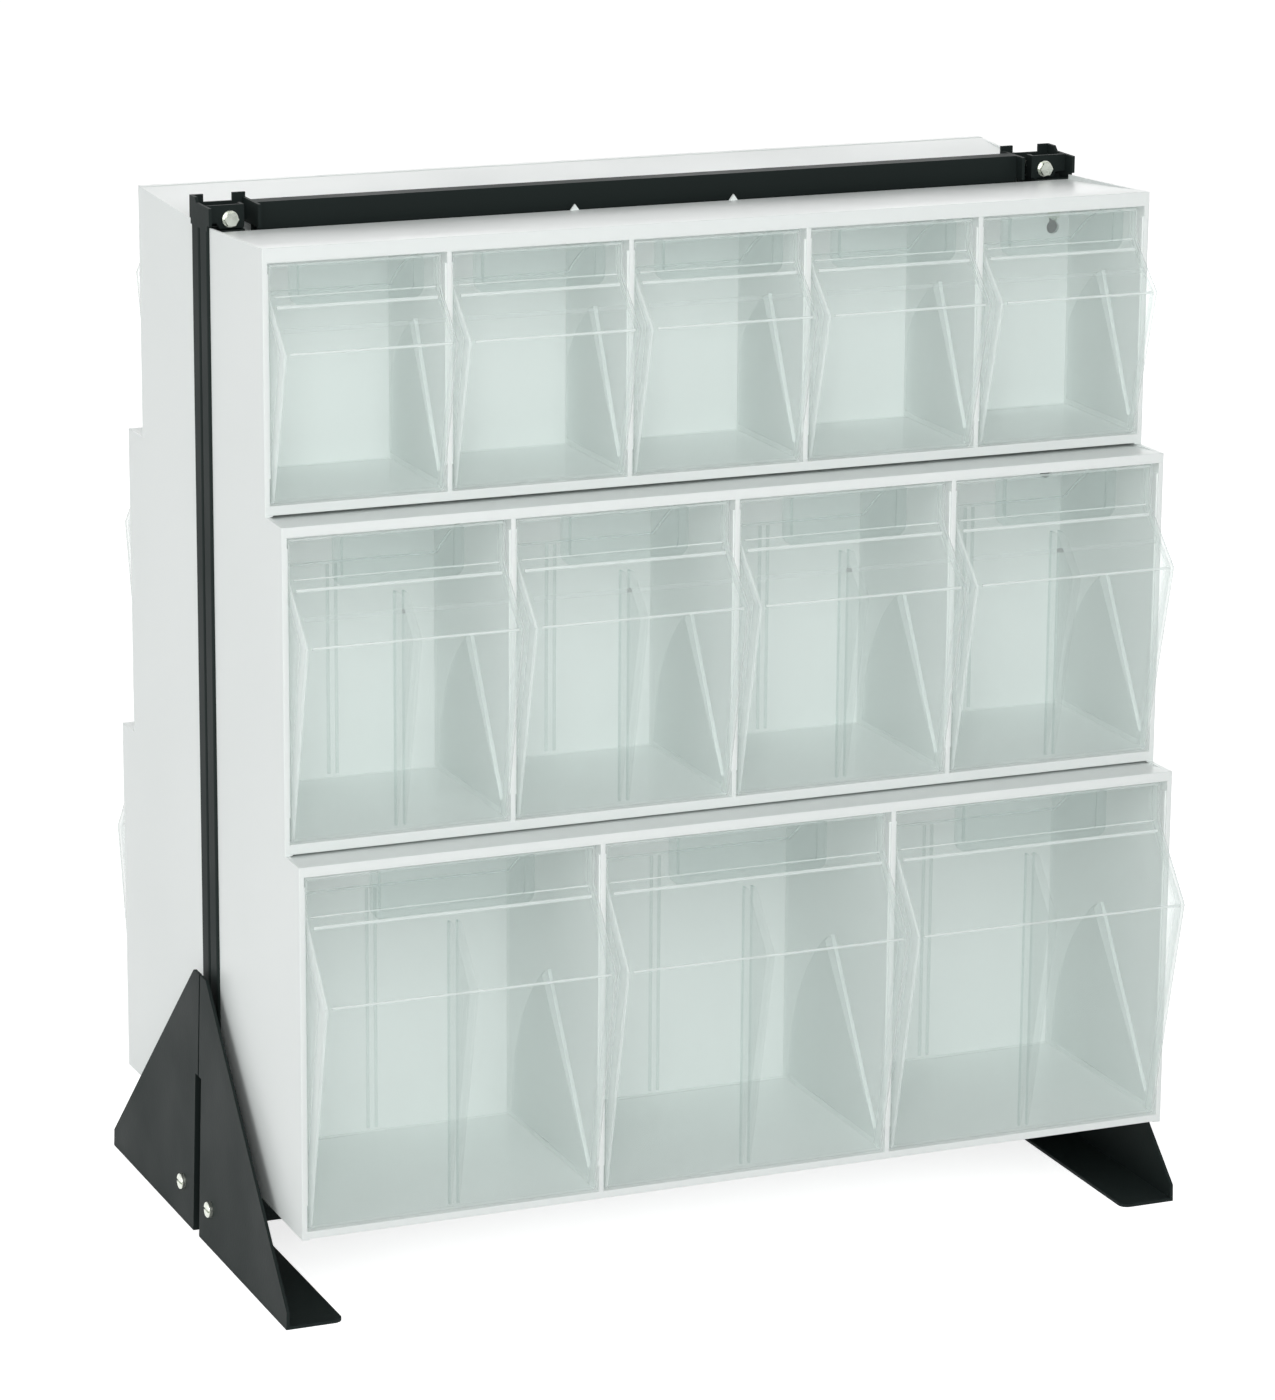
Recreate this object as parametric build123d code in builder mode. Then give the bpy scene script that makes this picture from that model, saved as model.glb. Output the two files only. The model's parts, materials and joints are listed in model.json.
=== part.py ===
from build123d import *

import os
from dataclasses import dataclass
from math import acos, atan2, cos, degrees, hypot, radians, sin, sqrt, tan

# A two-sided storage stand. Three moulded cabinets are stacked on each face of a steel frame,
# and each cabinet holds a row of clear bins that tip out on trunnions at their lower front edge.
# Millimetres. Origin on the floor under the middle, X across, -Y to the front, +Z up.

# Cabinets, all tiers
CABINET_WIDTH = 600.0
FLOOR_TO_CABINET = 57.2
END_WALL = 3.2
BACK_WALL = 2.5
TOP_PANEL = 2.0
FRONT_LAND = 6.0
TOP_DROP = 8.0
TOP_END_DROP = 5.0
SIDE_TAPER = 2.0
END_FOOT_WIDTH = 5.0
STACK_GAP = 0.8
DIVIDER = 3.0
LUG_WIDTH = 6.0
LUG_HEIGHT = 4.0
LUG_THICKNESS = 1.5
LUG_SPREAD = 110.0

# Cabinets, tier by tier: height, depth, rims and number of bins
BOTTOM_HEIGHT = 241.3
BOTTOM_DEPTH = 164.0
BOTTOM_TOP_RIM = 6.3
BOTTOM_FLOOR_RIM = 4.6
BOTTOM_BINS = 3
MIDDLE_HEIGHT = 206.4
MIDDLE_DEPTH = 138.0
MIDDLE_TOP_RIM = 6.4
MIDDLE_FLOOR_RIM = 6.2
MIDDLE_BINS = 4
TOP_HEIGHT = 165.1
TOP_DEPTH = 107.3
TOP_TOP_RIM = 9.0
TOP_FLOOR_RIM = 5.8
TOP_BINS = 5

# Bins, all tiers
BIN_WALL = 2.0
BIN_SIDE_GAP = 1.5
BIN_FLOOR_GAP = 0.4
BIN_TOP_GAP = 2.0
BIN_BACK_GAP = 6.5
SWING_GAP = 1.1
PANEL_RECESS = 5.0
LEDGE_RISE = 5.7
CORNER_ROUND = 5.0
LIP_ROUND = 1.5
RIDGE_HEIGHT = 3.0
RIDGE_PROUD = 0.6
RIB_WIDTH = 1.8
RIB_PROUD = 1.5
RIB_SPACING = 5.6
RIB_INSET = 3.0
POCKET_RIM = 5.4
POCKET_DEPTH = 3.0
POCKET_ROUND = 5.0

# Bins, tier by tier: lip, ledge, label pad, side sector and the angle that they swing out
BOTTOM_LIP_REACH = 33.5
BOTTOM_LIP_HEIGHT = 160.5
BOTTOM_LEDGE_HEIGHT = 201.8
BOTTOM_PAD_WIDTH = 107.0
BOTTOM_SECTOR = 144.0
BOTTOM_SWING = 37.0
MIDDLE_LIP_REACH = 29.5
MIDDLE_LIP_HEIGHT = 137.5
MIDDLE_LEDGE_HEIGHT = 166.5
MIDDLE_PAD_WIDTH = 84.0
MIDDLE_SECTOR = 119.0
MIDDLE_SWING = 34.0
TOP_LIP_REACH = 25.5
TOP_LIP_HEIGHT = 104.5
TOP_LEDGE_HEIGHT = 128.5
TOP_PAD_WIDTH = 85.5
TOP_SECTOR = 107.0
TOP_SWING = 30.0

# Trunnions and swing stops
PIVOT_SETBACK = 4.5
PIN_RADIUS = 2.5
PIN_CLEARANCE = 0.08
PIN_ENGAGE = 0.9
PIN_HOLE_DEPTH = 1.1
SECTOR_PROUD = 1.0
BEAD_WIDTH = 3.0
BEAD_PROUD = 1.0
BEAD_START = 12.0
STOP_GAP = 0.3

# Steel stand
UPRIGHT_WIDTH = 25.4
UPRIGHT_DEPTH = 16.5
UPRIGHT_INSET = 0.5
TUBE_WALL = 1.5
TUBE_ROUND = 3.0
SHEET = 2.0
TOP_RAIL_DEPTH = 12.0
TOP_RAIL_HEIGHT = 25.4
BASE_RAIL = 19.05
BASE_RAIL_Y = 28.5
BASE_RAIL_Z = 26.5
PLUG_LENGTH = 12.0
PLUG_BORE_RADIUS = 3.0

# Feet
FOOT_STANDOFF = 11.5
FOOT_LEAN = 5.0
FOOT_PEAK = 176.5
FOOT_PEAK_HALF = 12.5
FOOT_REACH = 181.2
FOOT_TOE = 11.5
FOOT_SEAM = 1.0
SLOT_HALF = 6.0
SLOT_HEIGHT = 108.0
FLANGE_WIDTH = 38.0
FLANGE_ROUND = 6.0

# End brackets
BRACKET_LENGTH = 36.0
BRACKET_FLOAT = 0.8
BRACKET_HEIGHT = 14.8
BRACKET_FRONT = 9.5
BRACKET_WALL = 26.5
BRACKET_RETURN = 8.0
BRACKET_WING = 10.5
BRACKET_STEP = 3.6
BRACKET_STEP_LENGTH = 8.5
INNER_WEB_FRONT = 14.5
TAB_RISE = 3.0
TAB_WIDTH = 8.5
TAB_WRAP = 10.5
NOTCH_DROP = 2.0

# Screws and the holes for them
SCREW_RADIUS = 2.5
SCREW_HOLE_RADIUS = 2.75
HEAD_RADIUS = 5.2
HEAD_HEIGHT = 3.0
HEAD_ROUND = 1.0
SLOT_WIDTH = 1.3
SLOT_DEPTH = 1.2
FOOT_SHANK = 12.0
WASHER_HEIGHT = 1.0
HEX_ACROSS = 8.0
HEX_HEIGHT = 3.4
BRACKET_SCREW_INSET = 17.2
BRACKET_SCREW_LIFT = 6.0
KEYHOLE_INSET = 15.0
KEYHOLE_DROP = 39.0
KEYHOLE_RADIUS = 4.5
KEYHOLE_SLOT = 5.6
KEYHOLE_TRAVEL = 9.0
HANGER_HEAD_RADIUS = 4.0
HANGER_HEAD_HEIGHT = 2.2
HANGER_GAP = 0.3
HANGER_SHANK = 10.0


@dataclass
class Tier:
    """One row of bins and the cabinet that holds it, on one face of the stand."""

    name: str
    base: float
    height: float
    depth: float
    top_rim: float
    floor_rim: float
    bins: int
    lip_reach: float
    lip_height: float
    ledge_height: float
    pad_width: float
    sector: float
    swing: float
    end_drop: float = 0.0
    ribbed: bool = False
    ridged: bool = False

    def __post_init__(self):
        self.top = self.base + self.height
        self.front = -(UPRIGHT_DEPTH + self.depth)
        self.opening_floor = self.base + STACK_GAP + self.floor_rim
        self.opening_top = self.top - self.top_rim
        self.pivot_y = self.front + PIVOT_SETBACK
        self.pivot_z = self.opening_floor + BIN_FLOOR_GAP + PIVOT_SETBACK
        self.bin_top = self.opening_top - BIN_TOP_GAP
        self.bin_back = -(UPRIGHT_DEPTH + BACK_WALL + BIN_BACK_GAP)
        self.ledge_z = self.base + self.ledge_height
        self.lip_z = self.base + self.lip_height
        self.pitch = CABINET_WIDTH / self.bins

    def bay(self, index):
        """X of the wall faces at the left and right of one bin."""
        left = -CABINET_WIDTH / 2 + self.pitch * index
        right = left + self.pitch
        left += END_WALL if index == 0 else DIVIDER / 2
        right -= END_WALL if index == self.bins - 1 else DIVIDER / 2
        return left, right


bottom = Tier(
    "bottom", FLOOR_TO_CABINET, BOTTOM_HEIGHT, BOTTOM_DEPTH, BOTTOM_TOP_RIM, BOTTOM_FLOOR_RIM,
    BOTTOM_BINS, BOTTOM_LIP_REACH, BOTTOM_LIP_HEIGHT, BOTTOM_LEDGE_HEIGHT, BOTTOM_PAD_WIDTH,
    BOTTOM_SECTOR, BOTTOM_SWING, ribbed=True,
)
middle = Tier(
    "middle", bottom.top, MIDDLE_HEIGHT, MIDDLE_DEPTH, MIDDLE_TOP_RIM, MIDDLE_FLOOR_RIM,
    MIDDLE_BINS, MIDDLE_LIP_REACH, MIDDLE_LIP_HEIGHT, MIDDLE_LEDGE_HEIGHT, MIDDLE_PAD_WIDTH,
    MIDDLE_SECTOR, MIDDLE_SWING, ribbed=True, ridged=True,
)
top = Tier(
    "top", middle.top, TOP_HEIGHT, TOP_DEPTH, TOP_TOP_RIM, TOP_FLOOR_RIM,
    TOP_BINS, TOP_LIP_REACH, TOP_LIP_HEIGHT, TOP_LEDGE_HEIGHT, TOP_PAD_WIDTH,
    TOP_SECTOR, TOP_SWING, end_drop=TOP_END_DROP, ridged=True,
)
TIERS = (bottom, middle, top)

# Where the stand meets the cabinets
HALF_WIDTH = CABINET_WIDTH / 2
UPRIGHT_OUTER = HALF_WIDTH - UPRIGHT_INSET
KEYHOLE_X = HALF_WIDTH - KEYHOLE_INSET
FOOT_OUTER = HALF_WIDTH + FOOT_STANDOFF
BRACKET_INNER = UPRIGHT_OUTER - BRACKET_LENGTH
BRACKET_BOTTOM = top.top - TOP_DROP + BRACKET_FLOAT
BRACKET_TOP = BRACKET_BOTTOM + BRACKET_HEIGHT
BRACKET_SCREW_X = UPRIGHT_OUTER - BRACKET_SCREW_INSET
BRACKET_SCREW_Z = BRACKET_BOTTOM + BRACKET_SCREW_LIFT
BRACKET_BACK = UPRIGHT_DEPTH + SHEET
LEAN = atan2(FOOT_LEAN, FOOT_PEAK)
BASE_RAIL_TOP = BASE_RAIL_Z + BASE_RAIL / 2
BASE_RAIL_HALF = FOOT_OUTER - BASE_RAIL_TOP * tan(LEAN) - SHEET / cos(LEAN)
FOOT_FACE = Plane(origin=(-FOOT_OUTER, 0, 0), x_dir=(0, -1, 0), z_dir=(-cos(LEAN), 0, sin(LEAN)))
HANGER_BACK = UPRIGHT_DEPTH + BACK_WALL + HANGER_GAP


def hanger_z(tier):
    """Height of the screws that a cabinet hangs on, at the top of its keyholes' slots."""
    return tier.top - KEYHOLE_DROP + KEYHOLE_TRAVEL


def keep(piece, name, turned=False):
    """Label a piece and write it; the rear face's pieces are the front's, turned round."""
    if turned:
        piece.part = piece.part.rotate(Axis.Z, 180)
    piece.part.label = name
    export_step(piece.part, f"parts/{name}.step")


# ---- cabinets and dividers -------------------------------------------------------------------


def bay_outline(tier):
    """Side view of the space inside a cabinet, under its sloping top panel."""
    back = -(UPRIGHT_DEPTH + BACK_WALL)
    land = tier.front + FRONT_LAND
    ceiling = min(tier.opening_top, tier.top - TOP_DROP - TOP_PANEL)
    with BuildSketch() as outline:
        with BuildLine():
            Polyline(
                (tier.front, tier.opening_floor),
                (tier.front, tier.opening_top),
                (land, tier.opening_top),
                (back, ceiling),
                (back, tier.opening_floor),
                close=True,
            )
        make_face()
    return outline.sketch


def swing_seat(tier, face_x, into_wall):
    """Cut one blind trunnion hole in a wall and put its stop bead beside it."""
    bead_top = tier.bin_top - CORNER_ROUND
    bead_bottom = tier.pivot_z + BEAD_START
    bead_y = tier.pivot_y - STOP_GAP - BEAD_WIDTH / 2
    with BuildSketch(Plane.YZ.offset(face_x)) as hole:
        with Locations((tier.pivot_y, tier.pivot_z)):
            Circle(PIN_RADIUS + PIN_CLEARANCE)
    extrude(hole.sketch, amount=into_wall * PIN_HOLE_DEPTH, mode=Mode.SUBTRACT)
    with BuildSketch(Plane.YZ.offset(face_x)) as bead:
        with Locations((bead_y, (bead_top + bead_bottom) / 2)):
            Rectangle(BEAD_WIDTH, bead_top - bead_bottom)
    extrude(bead.sketch, amount=-into_wall * BEAD_PROUD)


def cabinet(tier, name, turned):
    """Moulded case: end walls, floor, sloping top, rims and a back with keyholes."""
    inner_half = HALF_WIDTH - END_WALL
    case_floor = tier.base + STACK_GAP
    back = -UPRIGHT_DEPTH
    with BuildPart() as case:
        with BuildSketch(Plane.YZ.offset(-HALF_WIDTH)):
            with BuildLine():
                Polyline(
                    (tier.front, case_floor),
                    (tier.front, tier.top),
                    (back, tier.top - tier.end_drop),
                    (back, case_floor),
                    close=True,
                )
            make_face()
        extrude(amount=CABINET_WIDTH)
        with BuildSketch(Plane.XY.offset(tier.base)):
            for side in (-1, 1):
                with Locations((side * (HALF_WIDTH - END_FOOT_WIDTH / 2), back - tier.depth / 2)):
                    Rectangle(END_FOOT_WIDTH, tier.depth)
        extrude(amount=STACK_GAP)
        with BuildSketch(Plane.YZ.offset(-inner_half)) as recess:
            with BuildLine():
                Polyline(
                    (tier.front + FRONT_LAND, tier.top),
                    (back, tier.top),
                    (back, tier.top - TOP_DROP),
                    close=True,
                )
            make_face()
        extrude(recess.sketch, amount=2 * inner_half, mode=Mode.SUBTRACT)
        with BuildSketch(Plane.YZ.offset(-inner_half)) as space:
            add(bay_outline(tier))
        extrude(space.sketch, amount=2 * inner_half, mode=Mode.SUBTRACT)
        with BuildSketch(Plane.XY.offset(tier.base)) as taper:
            for side in (-1, 1):
                with BuildLine():
                    Polyline(
                        (side * HALF_WIDTH, tier.front),
                        (side * HALF_WIDTH, back),
                        (side * (HALF_WIDTH - SIDE_TAPER), back),
                        close=True,
                    )
                make_face()
        extrude(taper.sketch, amount=tier.height, mode=Mode.SUBTRACT)
        with BuildSketch(Plane.XZ.offset(UPRIGHT_DEPTH)) as keyholes:
            for side in (-1, 1):
                hole_z = tier.top - KEYHOLE_DROP
                with Locations((side * KEYHOLE_X, hole_z)):
                    Circle(KEYHOLE_RADIUS)
                with Locations((side * KEYHOLE_X, hole_z + KEYHOLE_TRAVEL / 2)):
                    Rectangle(KEYHOLE_SLOT, KEYHOLE_TRAVEL)
                with Locations((side * KEYHOLE_X, hole_z + KEYHOLE_TRAVEL)):
                    Circle(KEYHOLE_SLOT / 2)
        extrude(keyholes.sketch, amount=BACK_WALL, mode=Mode.SUBTRACT)
        with BuildSketch(Plane.XZ.offset(UPRIGHT_DEPTH)) as lugs:
            for side in (-1, 1):
                lug_z = tier.top - TOP_DROP
                lug_x = side * LUG_SPREAD / 2
                with BuildLine():
                    Polyline(
                        (lug_x - LUG_WIDTH / 2, lug_z - TOP_PANEL),
                        (lug_x - LUG_WIDTH / 2, lug_z),
                        (lug_x, lug_z + LUG_HEIGHT),
                        (lug_x + LUG_WIDTH / 2, lug_z),
                        (lug_x + LUG_WIDTH / 2, lug_z - TOP_PANEL),
                        close=True,
                    )
                make_face()
        extrude(lugs.sketch, amount=LUG_THICKNESS)
        swing_seat(tier, -inner_half, -1)
        swing_seat(tier, inner_half, 1)
    keep(case, name, turned)


def divider_set(tier, name, turned):
    """The thin upright walls between a cabinet's bins."""
    with BuildPart() as walls:
        for gap in range(1, tier.bins):
            centre = -HALF_WIDTH + tier.pitch * gap
            with BuildSketch(Plane.YZ.offset(centre - DIVIDER / 2)) as wall:
                add(bay_outline(tier))
            extrude(wall.sketch, amount=DIVIDER)
            swing_seat(tier, centre - DIVIDER / 2, 1)
            swing_seat(tier, centre + DIVIDER / 2, -1)
    keep(walls, name, turned)


# ---- bins ------------------------------------------------------------------------------------


def bin_front_angle(tier):
    """Direction from the pivot to where the sloping front leaves the rounded toe, in degrees."""
    lip_y = tier.front - tier.lip_reach - tier.pivot_y
    lip_z = tier.lip_z - tier.pivot_z
    return degrees(atan2(lip_z, lip_y) + acos(PIVOT_SETBACK / hypot(lip_y, lip_z)))


def swing_radius(tier):
    """Largest distance from the pivot that clears the rim overhead as the bin tips."""
    return tier.opening_top - tier.pivot_z - SWING_GAP


def bin_outline(tier, rise=0.0):
    """Side view of a bin; with a rise the top is open and square, for its hollow."""
    start = bin_front_angle(tier)
    toe = (
        tier.pivot_y + PIVOT_SETBACK * cos(radians(start)),
        tier.pivot_z + PIVOT_SETBACK * sin(radians(start)),
    )
    floor_z = tier.pivot_z - PIVOT_SETBACK
    radius = swing_radius(tier)
    back_reach = tier.bin_back - tier.pivot_y
    panel_y = tier.front + PANEL_RECESS
    crest = tier.bin_top - tier.pivot_z
    arc_top = (tier.pivot_y + sqrt(radius**2 - crest**2), tier.bin_top)
    arc_end = (tier.bin_back, tier.pivot_z + sqrt(radius**2 - back_reach**2))
    top_angle = atan2(crest, arc_top[0] - tier.pivot_y)
    end_angle = atan2(arc_end[1] - tier.pivot_z, back_reach)
    middle_angle = (top_angle + end_angle) / 2
    arc_middle = (
        tier.pivot_y + radius * cos(middle_angle),
        tier.pivot_z + radius * sin(middle_angle),
    )
    with BuildSketch() as outline:
        with BuildLine():
            CenterArc((tier.pivot_y, tier.pivot_z), PIVOT_SETBACK, start, 270 - start)
            Line((tier.pivot_y, floor_z), (tier.bin_back, floor_z))
            if rise:
                Polyline(
                    (tier.bin_back, floor_z),
                    (tier.bin_back, tier.bin_top + rise),
                    (panel_y, tier.bin_top + rise),
                )
            else:
                Line((tier.bin_back, floor_z), arc_end)
                ThreePointArc(arc_end, arc_middle, arc_top)
                Line(arc_top, (panel_y, tier.bin_top))
            Polyline(
                (panel_y, tier.bin_top + rise),
                (panel_y, tier.ledge_z + LEDGE_RISE),
                (tier.front, tier.ledge_z),
                (tier.front - tier.lip_reach, tier.lip_z),
                toe,
            )
        make_face()
    return outline.sketch


def bin_hollow(tier, wall):
    """Side view of the space inside a bin, this far in from its outside."""
    rise = 4 * PANEL_RECESS
    with BuildSketch() as outline:
        add(bin_outline(tier, rise))
        offset(amount=-wall, kind=Kind.INTERSECTION, mode=Mode.REPLACE)
    return outline.sketch


def tip_out_bin(tier, index, name, turned):
    """Clear tray with a jutting lip, a label pad, side sectors and two trunnions."""
    left, right = tier.bay(index)
    x_left = left + BIN_SIDE_GAP
    x_right = right - BIN_SIDE_GAP
    width = x_right - x_left
    centre = (x_left + x_right) / 2
    floor_z = tier.pivot_z - PIVOT_SETBACK
    height = tier.bin_top - floor_z
    stop_angle = 90 - tier.swing
    with BuildPart() as tray:
        with BuildSketch(Plane.YZ.offset(x_left)) as side:
            add(bin_outline(tier))
        extrude(side.sketch, amount=width)
        fillet(tray.edges().filter_by(Axis.X).sort_by(Axis.Y)[0], radius=LIP_ROUND)
        with BuildSketch(Plane.XZ.offset(-tier.front + tier.lip_reach)) as face:
            with Locations((centre, floor_z + height / 2 - CORNER_ROUND)):
                RectangleRounded(width, height + 2 * CORNER_ROUND, CORNER_ROUND)
        extrude(face.sketch, amount=-(tier.depth + tier.lip_reach), mode=Mode.INTERSECT)
        with BuildSketch(Plane.YZ.offset(x_left + BIN_WALL)) as hollow:
            add(bin_hollow(tier, BIN_WALL))
        extrude(hollow.sketch, amount=width - 2 * BIN_WALL, mode=Mode.SUBTRACT)

        pad_bottom = tier.ledge_z
        pocket_bottom = pad_bottom + POCKET_RIM
        with BuildSketch(Plane.XZ.offset(-tier.front)) as pad:
            with Locations((centre, (pad_bottom + tier.bin_top) / 2)):
                Rectangle(tier.pad_width, tier.bin_top - pad_bottom)
        extrude(pad.sketch, amount=-PANEL_RECESS)
        with BuildSketch(Plane.XZ.offset(-tier.front)) as pocket:
            with Locations((centre, (pocket_bottom + tier.bin_top) / 2 + POCKET_ROUND)):
                RectangleRounded(
                    tier.pad_width - 2 * POCKET_RIM,
                    tier.bin_top - pocket_bottom + 2 * POCKET_ROUND,
                    POCKET_ROUND,
                )
        extrude(pocket.sketch, amount=-POCKET_DEPTH, mode=Mode.SUBTRACT)

        if tier.ridged:
            ridge_mid = ((tier.front - tier.lip_reach / 2), (tier.ledge_z + tier.lip_z) / 2)
            slope = degrees(atan2(tier.ledge_z - tier.lip_z, tier.lip_reach))
            with BuildSketch(Plane.YZ.offset(x_left + CORNER_ROUND)) as ridge:
                with Locations(Location(ridge_mid, slope)):
                    Rectangle(RIDGE_HEIGHT, 2 * RIDGE_PROUD)
            extrude(ridge.sketch, amount=width - 2 * CORNER_ROUND)
        if tier.ribbed:
            for side_sign in (-1, 1):
                rib_x = centre + side_sign * RIB_SPACING / 2 - RIB_WIDTH / 2
                with BuildSketch(Plane.YZ.offset(rib_x)) as rib:
                    add(bin_outline(tier))
                    rib_front = tier.front + RIB_INSET
                    rib_back = tier.bin_back - BIN_WALL - RIB_PROUD
                    with Locations(((rib_front + rib_back) / 2, tier.lip_z)):
                        Rectangle(rib_back - rib_front, 2 * tier.height, mode=Mode.SUBTRACT)
                    rib_top = tier.ledge_z - LEDGE_RISE
                    with Locations((tier.front, rib_top + tier.height / 2)):
                        Rectangle(4 * tier.depth, tier.height, mode=Mode.SUBTRACT)
                extrude(rib.sketch, amount=RIB_WIDTH)

        for face_x, outward in ((x_left, -1), (x_right, 1)):
            with BuildSketch(Plane.YZ.offset(face_x)) as sector:
                with BuildLine():
                    pivot = (tier.pivot_y, tier.pivot_z)
                    rim = CenterArc(pivot, tier.sector, 0, stop_angle)
                    Polyline(rim @ 1, pivot, rim @ 0)
                make_face()
                add(bin_outline(tier), mode=Mode.INTERSECT)
            extrude(sector.sketch, amount=outward * SECTOR_PROUD)
            with BuildSketch(Plane.YZ.offset(face_x)) as pin:
                with Locations((tier.pivot_y, tier.pivot_z)):
                    Circle(PIN_RADIUS)
            extrude(pin.sketch, amount=outward * (BIN_SIDE_GAP + PIN_ENGAGE))
    keep(tray, name, turned)


# ---- stand -----------------------------------------------------------------------------------


def upright(side, face, name):
    """One of the four tubes that stand back to back, drilled for the cabinets' hangers."""
    centre_x = side * (UPRIGHT_OUTER - UPRIGHT_WIDTH / 2)
    centre_y = face * UPRIGHT_DEPTH / 2
    with BuildPart() as tube:
        with BuildSketch(Plane.XY.offset(SHEET)):
            with Locations((centre_x, centre_y)):
                RectangleRounded(UPRIGHT_WIDTH, UPRIGHT_DEPTH, TUBE_ROUND)
                RectangleRounded(
                    UPRIGHT_WIDTH - 2 * TUBE_WALL,
                    UPRIGHT_DEPTH - 2 * TUBE_WALL,
                    TUBE_ROUND - TUBE_WALL,
                    mode=Mode.SUBTRACT,
                )
        extrude(amount=BRACKET_BOTTOM - SHEET)
        with BuildSketch(Plane.XZ.offset(-face * UPRIGHT_DEPTH)) as holes:
            for tier in TIERS:
                with Locations((side * KEYHOLE_X, hanger_z(tier))):
                    Circle(SCREW_HOLE_RADIUS)
        extrude(holes.sketch, amount=face * TUBE_WALL, mode=Mode.SUBTRACT)
    keep(tube, name)


def foot(side, face, name):
    """Bent sheet foot: a leaning triangular plate, a floor flange and a flange to the upright."""
    with BuildPart() as plate:
        with BuildSketch(FOOT_FACE) as blade:
            with BuildLine():
                Polyline(
                    (SLOT_HALF, -SHEET),
                    (FOOT_REACH, -SHEET),
                    (FOOT_REACH, FOOT_TOE),
                    (FOOT_PEAK_HALF, FOOT_PEAK),
                    (FOOT_SEAM, FOOT_PEAK),
                    (FOOT_SEAM, SLOT_HEIGHT),
                    (SLOT_HALF, SLOT_HEIGHT),
                    close=True,
                )
            make_face()
            with Locations((BASE_RAIL_Y, BASE_RAIL_Z)):
                Circle(SCREW_HOLE_RADIUS, mode=Mode.SUBTRACT)
        extrude(blade.sketch, amount=-SHEET)
        with BuildSketch() as sole:
            with Locations((-FOOT_OUTER + FLANGE_WIDTH / 2, -(FOOT_REACH + SLOT_HALF) / 2)):
                Rectangle(FLANGE_WIDTH, FOOT_REACH - SLOT_HALF)
            fillet(sole.vertices().group_by(Axis.Y)[0].sort_by(Axis.X)[-1], radius=FLANGE_ROUND)
        extrude(sole.sketch, amount=SHEET)
        with BuildSketch(Plane.XZ.offset(SLOT_HALF)) as ear:
            with BuildLine():
                Polyline(
                    (-FOOT_OUTER + SHEET / 2, SHEET),
                    (-UPRIGHT_OUTER, SHEET),
                    (-UPRIGHT_OUTER, SLOT_HEIGHT),
                    (-FOOT_OUTER + SHEET / 2 + SLOT_HEIGHT * tan(LEAN), SLOT_HEIGHT),
                    close=True,
                )
            make_face()
        extrude(ear.sketch, amount=SHEET)
        split(bisect_by=Plane.XY, keep=Keep.TOP)
        if side > 0:
            mirror(about=Plane.YZ, mode=Mode.REPLACE)
        if face > 0:
            mirror(about=Plane.XZ, mode=Mode.REPLACE)
    keep(plate, name)


def base_rail(face, name):
    """Square tube that ties the left and right feet together under the cabinets."""
    with BuildPart() as rail:
        with BuildSketch(Plane.YZ.offset(-BASE_RAIL_HALF)):
            with Locations((face * BASE_RAIL_Y, BASE_RAIL_Z)):
                Rectangle(BASE_RAIL, BASE_RAIL)
                Rectangle(BASE_RAIL - 2 * TUBE_WALL, BASE_RAIL - 2 * TUBE_WALL, mode=Mode.SUBTRACT)
        extrude(amount=2 * BASE_RAIL_HALF)
    keep(rail, name)


def rail_plugs():
    """Threaded plugs in the ends of the base rails, which the foot screws go into."""
    with BuildPart() as plugs:
        for side in (-1, 1):
            with BuildSketch(Plane.YZ.offset(side * BASE_RAIL_HALF)) as plug:
                with Locations((-BASE_RAIL_Y, BASE_RAIL_Z), (BASE_RAIL_Y, BASE_RAIL_Z)):
                    Rectangle(BASE_RAIL - 2 * TUBE_WALL, BASE_RAIL - 2 * TUBE_WALL)
                    Circle(PLUG_BORE_RADIUS, mode=Mode.SUBTRACT)
            extrude(plug.sketch, amount=-side * PLUG_LENGTH)
    keep(plugs, "rail_plugs")


def top_rail():
    """Flat tube between the end brackets, in the gap between front and rear cabinets."""
    with BuildPart() as rail:
        with BuildSketch(Plane.YZ.offset(-BRACKET_INNER)):
            with Locations((0, BRACKET_TOP - TOP_RAIL_HEIGHT / 2)):
                Rectangle(TOP_RAIL_DEPTH, TOP_RAIL_HEIGHT)
                Rectangle(
                    TOP_RAIL_DEPTH - 2 * TUBE_WALL,
                    TOP_RAIL_HEIGHT - 2 * TUBE_WALL,
                    mode=Mode.SUBTRACT,
                )
        extrude(amount=2 * BRACKET_INNER)
    keep(rail, "top_rail")


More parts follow.
